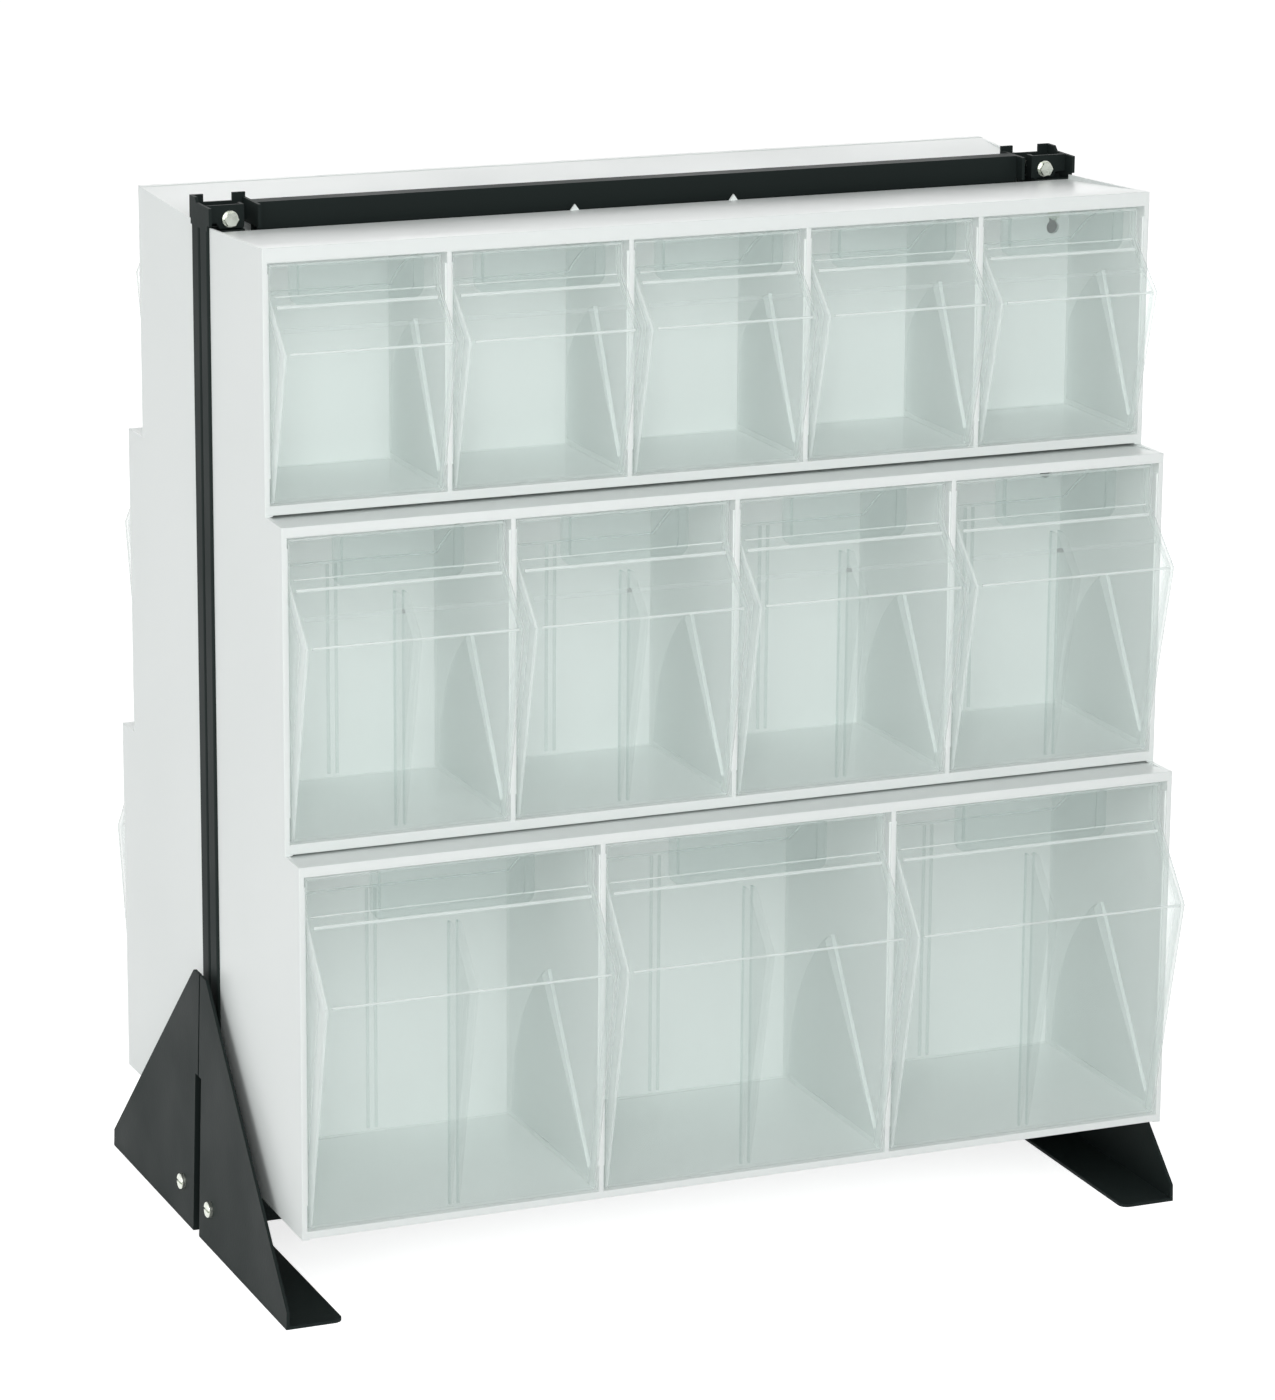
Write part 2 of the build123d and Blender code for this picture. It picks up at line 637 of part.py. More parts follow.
def end_bracket(side, name):
    """Bent sheet that caps a pair of uprights and carries one end of the top rail."""
    outer = -UPRIGHT_OUTER
    inner = -BRACKET_INNER
    wall_end = outer + BRACKET_WALL
    front = -BRACKET_FRONT
    step_x = outer + BRACKET_STEP_LENGTH
    step_z = BRACKET_BOTTOM + BRACKET_STEP
    tab_top = BRACKET_TOP + TAB_RISE
    with BuildPart() as bracket:
        with BuildSketch(Plane.XZ.offset(BRACKET_FRONT)) as front_wall:
            with BuildLine():
                Polyline(
                    (outer, step_z),
                    (step_x, step_z),
                    (step_x + SHEET, BRACKET_BOTTOM),
                    (wall_end, BRACKET_BOTTOM),
                    (wall_end, BRACKET_TOP),
                    (outer, BRACKET_TOP),
                    close=True,
                )
            make_face()
            with Locations((-BRACKET_SCREW_X, BRACKET_SCREW_Z)):
                Circle(SCREW_HOLE_RADIUS, mode=Mode.SUBTRACT)
        extrude(front_wall.sketch, amount=-SHEET)
        with BuildSketch(Plane.XZ.offset(-UPRIGHT_DEPTH)) as rear_wall:
            with BuildLine():
                Polyline(
                    (outer, step_z),
                    (step_x, step_z),
                    (step_x + SHEET, BRACKET_BOTTOM),
                    (inner, BRACKET_BOTTOM),
                    (inner, tab_top),
                    (inner - TAB_WIDTH, tab_top),
                    (inner - TAB_WIDTH, BRACKET_TOP - NOTCH_DROP),
                    (outer + TAB_WIDTH, BRACKET_TOP - NOTCH_DROP),
                    (outer + TAB_WIDTH, tab_top),
                    (outer, tab_top),
                    close=True,
                )
            make_face()
            with Locations((-BRACKET_SCREW_X, BRACKET_SCREW_Z)):
                Circle(SCREW_HOLE_RADIUS, mode=Mode.SUBTRACT)
        extrude(rear_wall.sketch, amount=-SHEET)
        with BuildSketch(Plane.YZ.offset(outer)) as outer_web:
            with BuildLine():
                Polyline(
                    (front - BRACKET_WING, step_z),
                    (-UPRIGHT_DEPTH, step_z),
                    (-UPRIGHT_DEPTH, BRACKET_BOTTOM),
                    (UPRIGHT_DEPTH, BRACKET_BOTTOM),
                    (UPRIGHT_DEPTH, step_z),
                    (BRACKET_BACK, step_z),
                    (BRACKET_BACK, tab_top),
                    (BRACKET_BACK - TAB_WRAP, tab_top),
                    (BRACKET_BACK - TAB_WRAP - TAB_RISE, BRACKET_TOP),
                    (front - BRACKET_WING, BRACKET_TOP),
                    close=True,
                )
            make_face()
        extrude(outer_web.sketch, amount=SHEET)
        with BuildSketch(Plane.XY.offset(BRACKET_BOTTOM)) as returns:
            with Locations((inner - SHEET / 2, (BRACKET_BACK - INNER_WEB_FRONT) / 2)):
                Rectangle(SHEET, BRACKET_BACK + INNER_WEB_FRONT)
            with Locations((wall_end - SHEET / 2, front + BRACKET_RETURN / 2)):
                Rectangle(SHEET, BRACKET_RETURN)
        extrude(returns.sketch, amount=BRACKET_HEIGHT)
        if side > 0:
            mirror(about=Plane.YZ, mode=Mode.REPLACE)
    keep(bracket, name)


# ---- screws ----------------------------------------------------------------------------------


def foot_screws():
    """Slotted screws through the foot plates into the plugs of the base rails."""
    with BuildPart() as screws:
        with BuildSketch(FOOT_FACE) as heads:
            with Locations((-BASE_RAIL_Y, BASE_RAIL_Z), (BASE_RAIL_Y, BASE_RAIL_Z)):
                Circle(HEAD_RADIUS)
        extrude(heads.sketch, amount=HEAD_HEIGHT)
        fillet(screws.edges().filter_by(GeomType.CIRCLE).group_by(Axis.X)[0], radius=HEAD_ROUND)
        with BuildSketch(FOOT_FACE.offset(HEAD_HEIGHT)) as slots:
            with Locations((-BASE_RAIL_Y, BASE_RAIL_Z), (BASE_RAIL_Y, BASE_RAIL_Z)):
                Rectangle(3 * HEAD_RADIUS, SLOT_WIDTH)
        extrude(slots.sketch, amount=-SLOT_DEPTH, mode=Mode.SUBTRACT)
        with BuildSketch(FOOT_FACE) as shanks:
            with Locations((-BASE_RAIL_Y, BASE_RAIL_Z), (BASE_RAIL_Y, BASE_RAIL_Z)):
                Circle(SCREW_RADIUS)
        extrude(shanks.sketch, amount=-FOOT_SHANK)
        mirror(about=Plane.YZ)
    keep(screws, "foot_screws")


def bracket_screws():
    """Hexagon screws with washers and nuts, each through both walls of a bracket."""
    centres = Locations((-BRACKET_SCREW_X, BRACKET_SCREW_Z), (BRACKET_SCREW_X, BRACKET_SCREW_Z))
    with BuildPart() as screws:
        for wall, outward in ((BRACKET_FRONT, 1), (-BRACKET_BACK, -1)):
            with BuildSketch(Plane.XZ.offset(wall)) as washers:
                with centres:
                    Circle(HEAD_RADIUS)
            extrude(washers.sketch, amount=outward * WASHER_HEIGHT)
            with BuildSketch(Plane.XZ.offset(wall + outward * WASHER_HEIGHT)) as hexagons:
                with centres:
                    RegularPolygon(HEX_ACROSS / 2, 6, major_radius=False)
            extrude(hexagons.sketch, amount=outward * HEX_HEIGHT)
        with BuildSketch(Plane.XZ.offset(BRACKET_FRONT)) as shanks:
            with centres:
                Circle(SCREW_RADIUS)
        extrude(shanks.sketch, amount=-(BRACKET_FRONT + BRACKET_BACK))
    keep(screws, "bracket_screws")


def hanger_screws():
    """Screws in the uprights whose heads hold the cabinets by their keyholes."""
    with BuildPart() as screws:
        for tier in TIERS:
            for side in (-1, 1):
                with BuildSketch(Plane.XZ.offset(HANGER_BACK)) as shank:
                    with Locations((side * KEYHOLE_X, hanger_z(tier))):
                        Circle(SCREW_RADIUS)
                extrude(shank.sketch, amount=-HANGER_SHANK)
                with BuildSketch(Plane.XZ.offset(HANGER_BACK)) as head:
                    with Locations((side * KEYHOLE_X, hanger_z(tier))):
                        Circle(HANGER_HEAD_RADIUS)
                extrude(head.sketch, amount=HANGER_HEAD_HEIGHT)
        mirror(about=Plane.XZ)
    keep(screws, "hanger_screws")


# ---- the whole stand -------------------------------------------------------------------------


def make_all():
    """Write every piece of the stand."""
    os.makedirs("parts", exist_ok=True)
    for face, turned in (("front", False), ("rear", True)):
        for tier in TIERS:
            cabinet(tier, f"cabinet_{face}_{tier.name}", turned)
            divider_set(tier, f"dividers_{face}_{tier.name}", turned)
            for index in range(tier.bins):
                tip_out_bin(tier, index, f"bin_{face}_{tier.name}_{index + 1}", turned)
    for face_name, face in (("front", -1), ("rear", 1)):
        base_rail(face, f"base_rail_{face_name}")
        for side_name, side in (("left", -1), ("right", 1)):
            upright(side, face, f"upright_{side_name}_{face_name}")
            foot(side, face, f"foot_{side_name}_{face_name}")
    for side_name, side in (("left", -1), ("right", 1)):
        end_bracket(side, f"end_bracket_{side_name}")
    top_rail()
    rail_plugs()
    foot_screws()
    bracket_screws()
    hanger_screws()


make_all()
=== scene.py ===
"""Looks for a two-sided stand of clear tip-out bins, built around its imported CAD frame."""

import json
from math import atan2, cos, pi, radians, sin

import bmesh
import bpy
import numpy as np
from bpy.props import (
    BoolVectorProperty,
    FloatProperty,
    FloatVectorProperty,
    IntProperty,
    PointerProperty,
)
from bpy.types import Operator, Panel, PropertyGroup
from mathutils import Matrix, Vector


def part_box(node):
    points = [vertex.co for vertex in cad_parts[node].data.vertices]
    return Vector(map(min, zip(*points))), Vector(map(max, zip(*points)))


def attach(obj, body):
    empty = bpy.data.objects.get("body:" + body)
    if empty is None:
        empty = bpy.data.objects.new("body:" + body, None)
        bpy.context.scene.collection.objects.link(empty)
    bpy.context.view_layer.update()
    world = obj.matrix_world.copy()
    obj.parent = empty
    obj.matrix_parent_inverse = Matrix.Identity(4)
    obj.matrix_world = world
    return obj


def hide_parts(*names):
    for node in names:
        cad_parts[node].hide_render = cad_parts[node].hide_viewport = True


bl_info = {
    "name": "Tip-out Bin Stand",
    "version": (1, 0, 0),
    "blender": (4, 5, 0),
    "location": "View3D > Sidebar > Bin Stand",
    "description": "Builds the clear bins, rims, finishes and studio of a two-sided bin stand",
    "category": "Object",
}

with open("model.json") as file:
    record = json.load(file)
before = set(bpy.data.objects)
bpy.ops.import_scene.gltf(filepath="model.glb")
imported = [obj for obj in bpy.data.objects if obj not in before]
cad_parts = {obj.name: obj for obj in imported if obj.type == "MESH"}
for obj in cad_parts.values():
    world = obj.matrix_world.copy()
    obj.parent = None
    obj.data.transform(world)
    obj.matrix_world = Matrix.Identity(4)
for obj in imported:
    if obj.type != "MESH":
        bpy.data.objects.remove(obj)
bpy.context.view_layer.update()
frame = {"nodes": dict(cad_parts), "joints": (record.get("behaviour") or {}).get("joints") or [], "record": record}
JOINTS = {joint["name"]: joint for joint in frame["joints"]}
TIERS = ("top", "middle", "bottom")
FACES = ("front", "rear")

# The photograph's frame and the camera that took it, in pixels, degrees and metres
PHOTO_WIDTH = 1275
FOCAL_PIXELS = 5215.6
SENSOR_WIDTH = 36.0
CAMERA_AZIMUTH = -22.749
CAMERA_ELEVATION = 15.025
CAMERA_DISTANCE = 3.4331
CAMERA_ROLL = 0.4237
CAMERA_TARGET = (-0.0022, -0.0005, 0.3306)

PLASTIC_IOR = 1.49

# Painted light on the bins: how much a painted highlight makes a part read lighter, to 1, or a painted shade
# darker, to -1
RIM_PAINTED_HIGHLIGHT = 0.7
CORNER_PAINTED_HIGHLIGHT = 0.6
PAD_PAINTED_SHADE = -0.3
RAMP_PAINTED_HIGHLIGHT = 1.0
BEAD_PAINTED_HIGHLIGHT = 0.7
RIDGE_PAINTED_HIGHLIGHT = 0.1
WEB_PAINTED_SHADE = -1.0
LINE_PAINTED_SHADE = -0.25


# ---- settings --------------------------------------------------------------------------------


class BinSizes(PropertyGroup):
    """Sizes of the clear bins that the frame's boxes don't give, top tier first."""

    wall: FloatProperty(name="Wall", description="Thickness of the plastic", default=0.002, unit="LENGTH")
    corner: FloatProperty(
        name="Corner", description="Radius of upright corners", default=0.0022, unit="LENGTH"
    )
    edge: FloatProperty(name="Edge", description="Rounding of small edges", default=0.0004, unit="LENGTH")
    kink: FloatProperty(
        name="Kink", description="Softness of bends in the front", default=0.0006, unit="LENGTH"
    )
    recess: FloatProperty(
        name="Recess", description="Set-back of the upper panel", default=0.005, unit="LENGTH"
    )
    ledge_rise: FloatProperty(
        name="Ledge rise", description="Height of the ledge's slant", default=0.0057, unit="LENGTH"
    )
    pin_reach: FloatProperty(
        name="Pin reach", description="Trunnion length past the side", default=0.0024, unit="LENGTH"
    )
    pin_radius: FloatProperty(name="Pin radius", description="Trunnion radius", default=0.0025, unit="LENGTH")
    rib_spacing: FloatProperty(
        name="Rib spacing", description="Distance between paired ribs", default=0.0056, unit="LENGTH"
    )
    rib_width: FloatProperty(name="Rib width", description="Width of one rib", default=0.0018, unit="LENGTH")
    rib_proud: FloatProperty(
        name="Rib height", description="Height of one rib", default=0.0015, unit="LENGTH"
    )
    rib_inset: FloatProperty(
        name="Rib inset", description="Front ribs' upright edge behind the case's front", default=0.003,
        unit="LENGTH",
    )
    ridge: FloatProperty(name="Ridge", description="Height of the cross ridge", default=0.003, unit="LENGTH")
    bead: FloatProperty(name="Bead", description="Thickness of small beads", default=0.0011, unit="LENGTH")
    ramp_turn: FloatProperty(
        name="Ramp turn", description="Angle of the stop ramps", default=0.08, subtype="ANGLE"
    )
    ramp_near: FloatProperty(
        name="Ramp near", description="Where ramps start, as a share of the sector", default=0.07
    )
    ramp_far: FloatProperty(
        name="Ramp far", description="Where ramps end, as a share of the sector", default=0.98
    )
    top_gap: FloatProperty(
        name="Top gap", description="Height of the rim's swing above the rim", default=0.0009, unit="LENGTH"
    )
    pad_rim: FloatProperty(
        name="Pad rim", description="Width of the label pad's raised rim", default=0.0054, unit="LENGTH"
    )
    pad_floor: FloatProperty(
        name="Pad floor", description="Height of the pad inside its rim", default=0.002, unit="LENGTH"
    )
    lip_height: FloatVectorProperty(
        name="Lip height", description="Lip above the case's foot", default=(0.1045, 0.1375, 0.1605),
        unit="LENGTH",
    )
    ledge_height: FloatVectorProperty(
        name="Ledge height", description="Ledge above the case's foot", default=(0.1285, 0.1665, 0.2018),
        unit="LENGTH",
    )
    pad_width: FloatVectorProperty(
        name="Pad width", description="Width of the label pad", default=(0.0855, 0.084, 0.107),
        unit="LENGTH",
    )
    sector: FloatVectorProperty(
        name="Sector", description="Radius of the side sectors", default=(0.107, 0.119, 0.144),
        unit="LENGTH",
    )
    ridged: BoolVectorProperty(
        name="Ridged", description="A ridge across the upper slope", default=(True, True, False)
    )
    ribbed: BoolVectorProperty(
        name="Ribbed", description="Paired ribs at mid-width", default=(False, True, True)
    )


class CaseSizes(PropertyGroup):
    """Sizes of the rounded rims on the cabinets' front edges."""

    rim_round: FloatProperty(
        name="Rim rounding", description="Radius of rim edges", default=0.0006, unit="LENGTH"
    )
    proud: FloatProperty(name="Proud", description="Rim in front of the wall", default=0.0002, unit="LENGTH")
    skin: FloatProperty(
        name="Skin", description="Rim outside the wall's sides", default=0.0001, unit="LENGTH"
    )
    rim_depth: FloatProperty(
        name="Rim depth", description="How far a rim runs back", default=0.006, unit="LENGTH"
    )
    end_wall: FloatProperty(name="End wall", description="End wall thickness", default=0.0032, unit="LENGTH")
    divider: FloatProperty(name="Divider", description="Divider thickness", default=0.003, unit="LENGTH")
    stack_gap: FloatProperty(
        name="Stack gap", description="Shadow gap under a case", default=0.0008, unit="LENGTH"
    )
    top_rim: FloatVectorProperty(
        name="Top rim", description="Height of the rim over the bins", default=(0.009, 0.0064, 0.0063),
        unit="LENGTH",
    )
    floor_rim: FloatVectorProperty(
        name="Floor rim", description="Height of the rim under the bins", default=(0.0058, 0.0062, 0.0046),
        unit="LENGTH",
    )
    bays: FloatVectorProperty(name="Bays", description="Bins side by side", default=(5, 4, 3))


class Finishes(PropertyGroup):
    """Colours of the four finishes."""

    case_white: FloatVectorProperty(
        name="Case white", description="Moulded cabinet plastic", default=(0.87, 0.915, 0.90),
        subtype="COLOR",
    )
    clear_tint: FloatVectorProperty(
        name="Clear tint", description="Tint of the clear bins", default=(0.985, 0.994, 0.991),
        subtype="COLOR",
    )
    # Painted shade: the darker see-through colour of ribs, webs and the label pad
    painted_edge_shade: FloatVectorProperty(
        name="Clear edge", description="Tint of ribs seen edge on", default=(0.80, 0.86, 0.85),
        subtype="COLOR",
    )
    # Colour of the milky skin, which also carries the painted highlight on rims, corners, ramps and beads
    clear_milk_and_painted_highlight: FloatVectorProperty(
        name="Clear milk", description="Haze of the clear bins", default=(0.86, 0.93, 0.91),
        subtype="COLOR",
    )
    steel_black: FloatVectorProperty(
        name="Steel black", description="Powder-coated steel", default=(0.014, 0.020, 0.019),
        subtype="COLOR",
    )
    zinc: FloatVectorProperty(
        name="Zinc", description="Plated screws", default=(0.70, 0.73, 0.66), subtype="COLOR"
    )


class Studio(PropertyGroup):
    """Floor, lamps and ambient level."""

    floor_colour: FloatVectorProperty(
        name="Floor", description="Pale floor", default=(0.92, 0.92, 0.92), subtype="COLOR"
    )
    floor_glow: FloatProperty(name="Floor glow", description="White added where it is seen", default=0.75)
    floor_half: FloatProperty(
        name="Floor half", description="Half the floor's side", default=15.0, unit="LENGTH"
    )
    ambient: FloatProperty(name="Ambient", description="Even light from all round", default=0.32)
    key_power: FloatProperty(
        name="Key", description="Power of the large front lamp", default=62.0, unit="POWER"
    )
    fill_power: FloatProperty(name="Fill", description="Power of the side lamp", default=21.0, unit="POWER")
    lamp_size: IntProperty(name="Lamp size", description="Side of a lamp in decimetres", default=24)


class StandSettings(PropertyGroup):
    """Everything that a user of the stand would change."""

    bins: PointerProperty(type=BinSizes)
    cases: PointerProperty(type=CaseSizes)
    finishes: PointerProperty(type=Finishes)
    studio: PointerProperty(type=Studio)


# ---- surfaces --------------------------------------------------------------------------------


def soft_ramp(distance, softness):
    """A ramp that is 0 below 0 and the distance above it, with its corner rounded:
    half of the distance plus the root of its square and the softness squared."""
    return 0.5 * (distance + np.sqrt(distance**2 + softness**2))


def grid_faces(rows, columns, start=0):
    """Quads of a rows by columns grid whose columns close on themselves, as corner numbers."""
    row, column = np.meshgrid(np.arange(rows - 1), np.arange(columns), indexing="ij")
    following = (column + 1) % columns
    corners = (row * columns + column, row * columns + following)
    upper = ((row + 1) * columns + following, (row + 1) * columns + column)
    return np.stack([*corners, *upper], axis=-1).reshape(-1, 4) + start


def build_piece(name, grids, turn=1, painted_lights=()):
    """One mesh object from closed grids of shape (rows, columns, 3). A grid's last and first
    rows shrink to lines or points, whose double corners are merged. Turn -1 spins it half round Z.
    Painted light values, one for each grid, say where a painted highlight lightens the finish, to 1,
    or a painted shade darkens it, to -1."""
    points, faces, start = [], [], 0
    for grid in grids:
        points.append(grid.reshape(-1, 3) * (turn, turn, 1))
        faces.append(grid_faces(grid.shape[0], grid.shape[1], start))
        start += grid.shape[0] * grid.shape[1]
    mesh = bpy.data.meshes.new(name)
    mesh.from_pydata(np.concatenate(points), [], np.concatenate(faces))
    if painted_lights:
        values = [np.broadcast_to(accent, grid.shape[:2]).ravel() for accent, grid in zip(painted_lights, grids)]
        layer = mesh.attributes.new("accent", "FLOAT", "POINT")
        layer.data.foreach_set("value", np.concatenate(values).astype(np.float32))
    piece = bpy.data.objects.new(name, mesh)
    bpy.context.scene.collection.objects.link(piece)
    close_seams(mesh)
    return piece


def close_seams(mesh, distance=1e-6):
    """Merge the doubled corners of caps and seams, and point every face outwards."""
    work = bmesh.new()
    work.from_mesh(mesh)
    bmesh.ops.remove_doubles(work, verts=work.verts, dist=distance)
    bmesh.ops.dissolve_degenerate(work, edges=work.edges, dist=distance)
    bmesh.ops.recalc_face_normals(work, faces=work.faces)
    work.to_mesh(mesh)
    work.free()
    mesh.shade_smooth()
    mesh.update()


def finish_piece(piece, body, material):
    """Weighted normals keep broad faces flat; then the piece gets its finish, slot and body."""
    weighted = piece.modifiers.new("Flat faces", "WEIGHTED_NORMAL")
    weighted.keep_sharp = True
    piece.data.materials.append(material)
    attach(piece, body)


def corner_loop(span, steps=4):
    """A rounded rectangle's outline as (across, along, cosine, sine): which corner each point
    belongs to, 0 or 1 each way, with extra points between corners, and its corner's normal."""
    arc = np.linspace(0, pi / 2, steps + 1)
    between = np.linspace(0, 1, span + 2)[1:-1]
    rows = []
    for quarter, (x, y) in enumerate(((1, 1), (0, 1), (0, 0), (1, 0))):
        angle = arc + quarter * pi / 2
        ones = np.ones_like(angle)
        rows.append(np.stack([x * ones, y * ones, np.cos(angle), np.sin(angle)], axis=1))
        after = ((0, 1), (0, 0), (1, 0), (1, 1))[quarter]
        ends = np.array([(x, y)]) + between[:, None] * (np.array([after]) - (x, y))
        normal = np.tile((cos(angle[-1]), sin(angle[-1])), (len(between), 1))
        rows.append(np.concatenate([ends, normal], axis=1))
    return np.concatenate(rows)


def rounded_plate(outline, low, high, radius, axis, steps=3):
    """A plate with rounded edges. Its outline, a convex loop of points, is carried from low to
    high along the axis. Near each face the loop moves in by the radius times one less the cosine
    while its height follows the sine, a quarter circle, and each face closes on the middle."""
    angle = np.linspace(0, pi / 2, steps + 1)
    rise, fall = radius * (1 - np.cos(angle)), radius * (1 - np.sin(angle))
    inset = np.concatenate([[None], fall, rise, [None]])
    height = np.concatenate([[low], low + rise, high - fall, [high]])
    ahead = np.roll(outline, -1, axis=0) - outline
    behind = outline - np.roll(outline, 1, axis=0)
    side = [e / np.maximum(np.linalg.norm(e, axis=1, keepdims=True), 1e-9) for e in (ahead, behind)]
    normal = sum(np.stack([e[:, 1], -e[:, 0]], axis=1) for e in side)
    length = np.linalg.norm(normal, axis=1, keepdims=True)
    normal = normal / np.maximum(length, 1e-9)
    spread = 2 / np.maximum(length, 0.5)
    middle = outline.mean(axis=0)
    if np.sum(normal * (outline - middle)) < 0:
        normal = -normal
    rows = []
    for amount, level in zip(inset, height):
        loop = np.tile(middle, (len(outline), 1)) if amount is None else outline - normal * spread * amount
        rows.append(np.insert(loop, axis, level, axis=1))
    return np.array(rows)


def box_outline(low, high, radius, steps=3):
    """A rounded rectangle from its low to its high corner, as a loop of points."""
    loop = corner_loop(0, steps)
    low, high = np.array(low) + radius, np.array(high) - radius
    return low + loop[:, :2] * (high - low) + radius * loop[:, 2:]


def turned(profile, centre, axis, columns=20):
    """A solid of revolution: each (distance along the axis, radius) of the profile becomes a
    ring of points at that radius round the centre."""
    angle = np.linspace(0, 2 * pi, columns, endpoint=False)
    rings = []
    for along, radius in profile:
        ring = np.stack([radius * np.cos(angle), radius * np.sin(angle)], axis=1)
        rings.append(np.insert(ring, axis, along, axis=1))
    return np.array(rings) + np.array(centre)


def bar_along(path, across, width, height, edge, steps=2):
    """A bar carried along a path. At each point its rounded rectangular section spans the width
    along one direction and the height along the other, square to the path and to the first.
    The section shrinks to a point at both ends."""
    path = np.array(path, float)
    across = np.array(across, float)
    along = np.gradient(path, axis=0)
    along /= np.linalg.norm(along, axis=1, keepdims=True)
    up = np.cross(along, across)
    up /= np.linalg.norm(up, axis=1, keepdims=True)
    section = box_outline((-width / 2, -height / 2), (width / 2, height / 2), edge, steps)
    rings = [
        point + section[:, :1] * side + section[:, 1:] * lift
        for point, side, lift in zip(path, across, up)
    ]
    first = np.tile(path[0], (len(section), 1))
    last = np.tile(path[-1], (len(section), 1))
    return np.array([first, *rings, last])


# ---- clear bins ------------------------------------------------------------------------------


class BinPlan:
    """Where one bin is, read from the frame and seen as if it were on the front face."""

    def __init__(self, face, tier, number, sizes, cases):
        self.node = f"bin_{face}_{tier}_{number}"
        self.body = f"tray_{face}_{tier}_{number}"
        self.turn = 1 if face == "front" else -1
        level = TIERS.index(tier)
        low, high = turned_box(self.node, self.turn)
        case_low, case_high = turned_box(f"cabinet_{face}_{tier}", self.turn)
        joint = JOINTS[f"tip_{face}_{tier}_{number}"]
        self.left = low[0] + sizes.pin_reach
        self.right = high[0] - sizes.pin_reach
        self.back = high[1]
        self.floor = low[2]
        self.top = high[2]
        self.front = case_low[1]
        self.pivot = (joint["pos_m"][1] * self.turn, joint["pos_m"][2])
        self.swing = radians(joint["range_deg"][1])
        self.toe = self.pivot[1] - self.floor
        self.lip = (low[1], case_low[2] + sizes.lip_height[level])
        self.ledge = case_low[2] + sizes.ledge_height[level]
        self.panel = self.front + sizes.recess
        self.reach = np.hypot(self.panel - self.pivot[0], self.top + sizes.top_gap - self.pivot[1])
        self.pad_width = sizes.pad_width[level]
        self.sector = sizes.sector[level]
        self.ridged = sizes.ridged[level]
        self.ribbed = sizes.ribbed[level]
        self.middle = (self.left + self.right) / 2


def turned_box(node, turn):
    """A node's low and high corners, turned half round Z for the rear face."""
    low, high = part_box(node)
    if turn > 0:
        return tuple(low), tuple(high)
    return (-high.x, -high.y, low.z), (-low.x, -low.y, high.z)


def front_line(z, plan, sizes):
    """How far forward a bin's outer front is at each height: a quarter circle round the pivot at
    the toe, then straight stretches out to the lip, back to the ledge and up its slant, whose
    corners are soft ramps, each adding the change of slope there."""
    start = plan.pivot[1]
    knots = np.array([plan.lip[1], plan.ledge, plan.ledge + sizes.ledge_rise])
    reach = plan.front - plan.lip[0]
    slopes = np.array(
        [
            -reach / (plan.lip[1] - start),
            reach / (plan.ledge - plan.lip[1]),
            sizes.recess / sizes.ledge_rise,
            0.0,
        ]
    )
    y = plan.front + slopes[0] * np.maximum(z - start, 0.0)
    for knot, change in zip(knots, np.diff(slopes)):
        y = y + change * (soft_ramp(z - knot, sizes.kink) - soft_ramp(start - knot, sizes.kink))
    below = np.clip(start - z, 0.0, plan.toe)
    return y + plan.toe - np.sqrt(plan.toe**2 - below**2)


def top_line(plan, depth_share):
    """Height of a bin's rim from its front, share 0, to its back, share 1: the circle round the
    pivot that clears the case as the bin swings, cut level at the top."""
    y = plan.panel + depth_share * (plan.back - plan.panel) - plan.pivot[0]
    return np.minimum(plan.top, plan.pivot[1] + np.sqrt(plan.reach**2 - y**2))


def tray_surface(plan, sizes):
    """The whole skin of a bin as one closed grid. A row is a rounded rectangle in plan. The rows
    start at the middle of the underside, spread to its edge, climb the outside, roll over the
    rim, go down the inside and close on the middle of the floor. A point's height is a share of
    the rim's height above it, so the rim dips to the back, and the front follows front_line."""
    loop = corner_loop(span=9)
    across, along, cosine, sine = loop.T
    rim = top_line(plan, along)
    wall, edge = sizes.wall, sizes.edge
    half_depth = (plan.back - plan.panel) / 2 - sizes.corner
    shares = climb_shares(plan, sizes)
    lift = np.linspace(0, pi / 2, 3)
    roll = np.linspace(0, pi, 6)
    # each stage gives the share of the rim's height, an added height and an inset from the outside
    stages = [
        (np.zeros(2), np.zeros(2), np.array([half_depth, edge])),
        (np.zeros(3), edge * (1 - np.cos(lift)), edge * (1 - np.sin(lift))),
        (shares, np.zeros_like(shares), np.zeros_like(shares)),
        (np.ones(6), wall / 2 * (np.sin(roll) - 1), wall / 2 * (1 - np.cos(roll))),
        (shares[::-1], np.zeros_like(shares), np.full_like(shares, wall)),
        (np.zeros(3), wall + edge * (1 - np.sin(lift)), wall + edge * (1 - np.cos(lift))),
        (np.zeros(1), np.array([wall]), np.array([half_depth])),
    ]
    rows = []
    for share, added, inset in zip(*(np.concatenate(column) for column in zip(*stages))):
        z = np.clip(plan.floor + share * (rim - plan.floor) + added, plan.floor, plan.top)
        if inset >= wall and share > 0:
            z = np.maximum(z, plan.floor + wall + edge)
        nudge = 1e-5
        slope = (front_line(z + nudge, plan, sizes) - front_line(z, plan, sizes)) / nudge
        front = front_line(z, plan, sizes) + inset * np.sqrt(1 + np.minimum(slope**2, 1.2))
        corner = max(sizes.corner - inset, 0.0003)
        if inset > half_depth / 2:
            corner = 0.0
            front = (plan.panel + plan.back) / 2 * np.ones_like(z) - 1e-9
        left, right = plan.left + inset + corner, plan.right - inset - corner
        low, high = front + corner, plan.back - inset - corner
        if inset > half_depth / 2:
            high = low
        x = left + across * (right - left) + corner * cosine
        y = low + along * (high - low) + corner * sine
        rows.append(np.stack([x, y, z], axis=1))
    return np.array(rows)


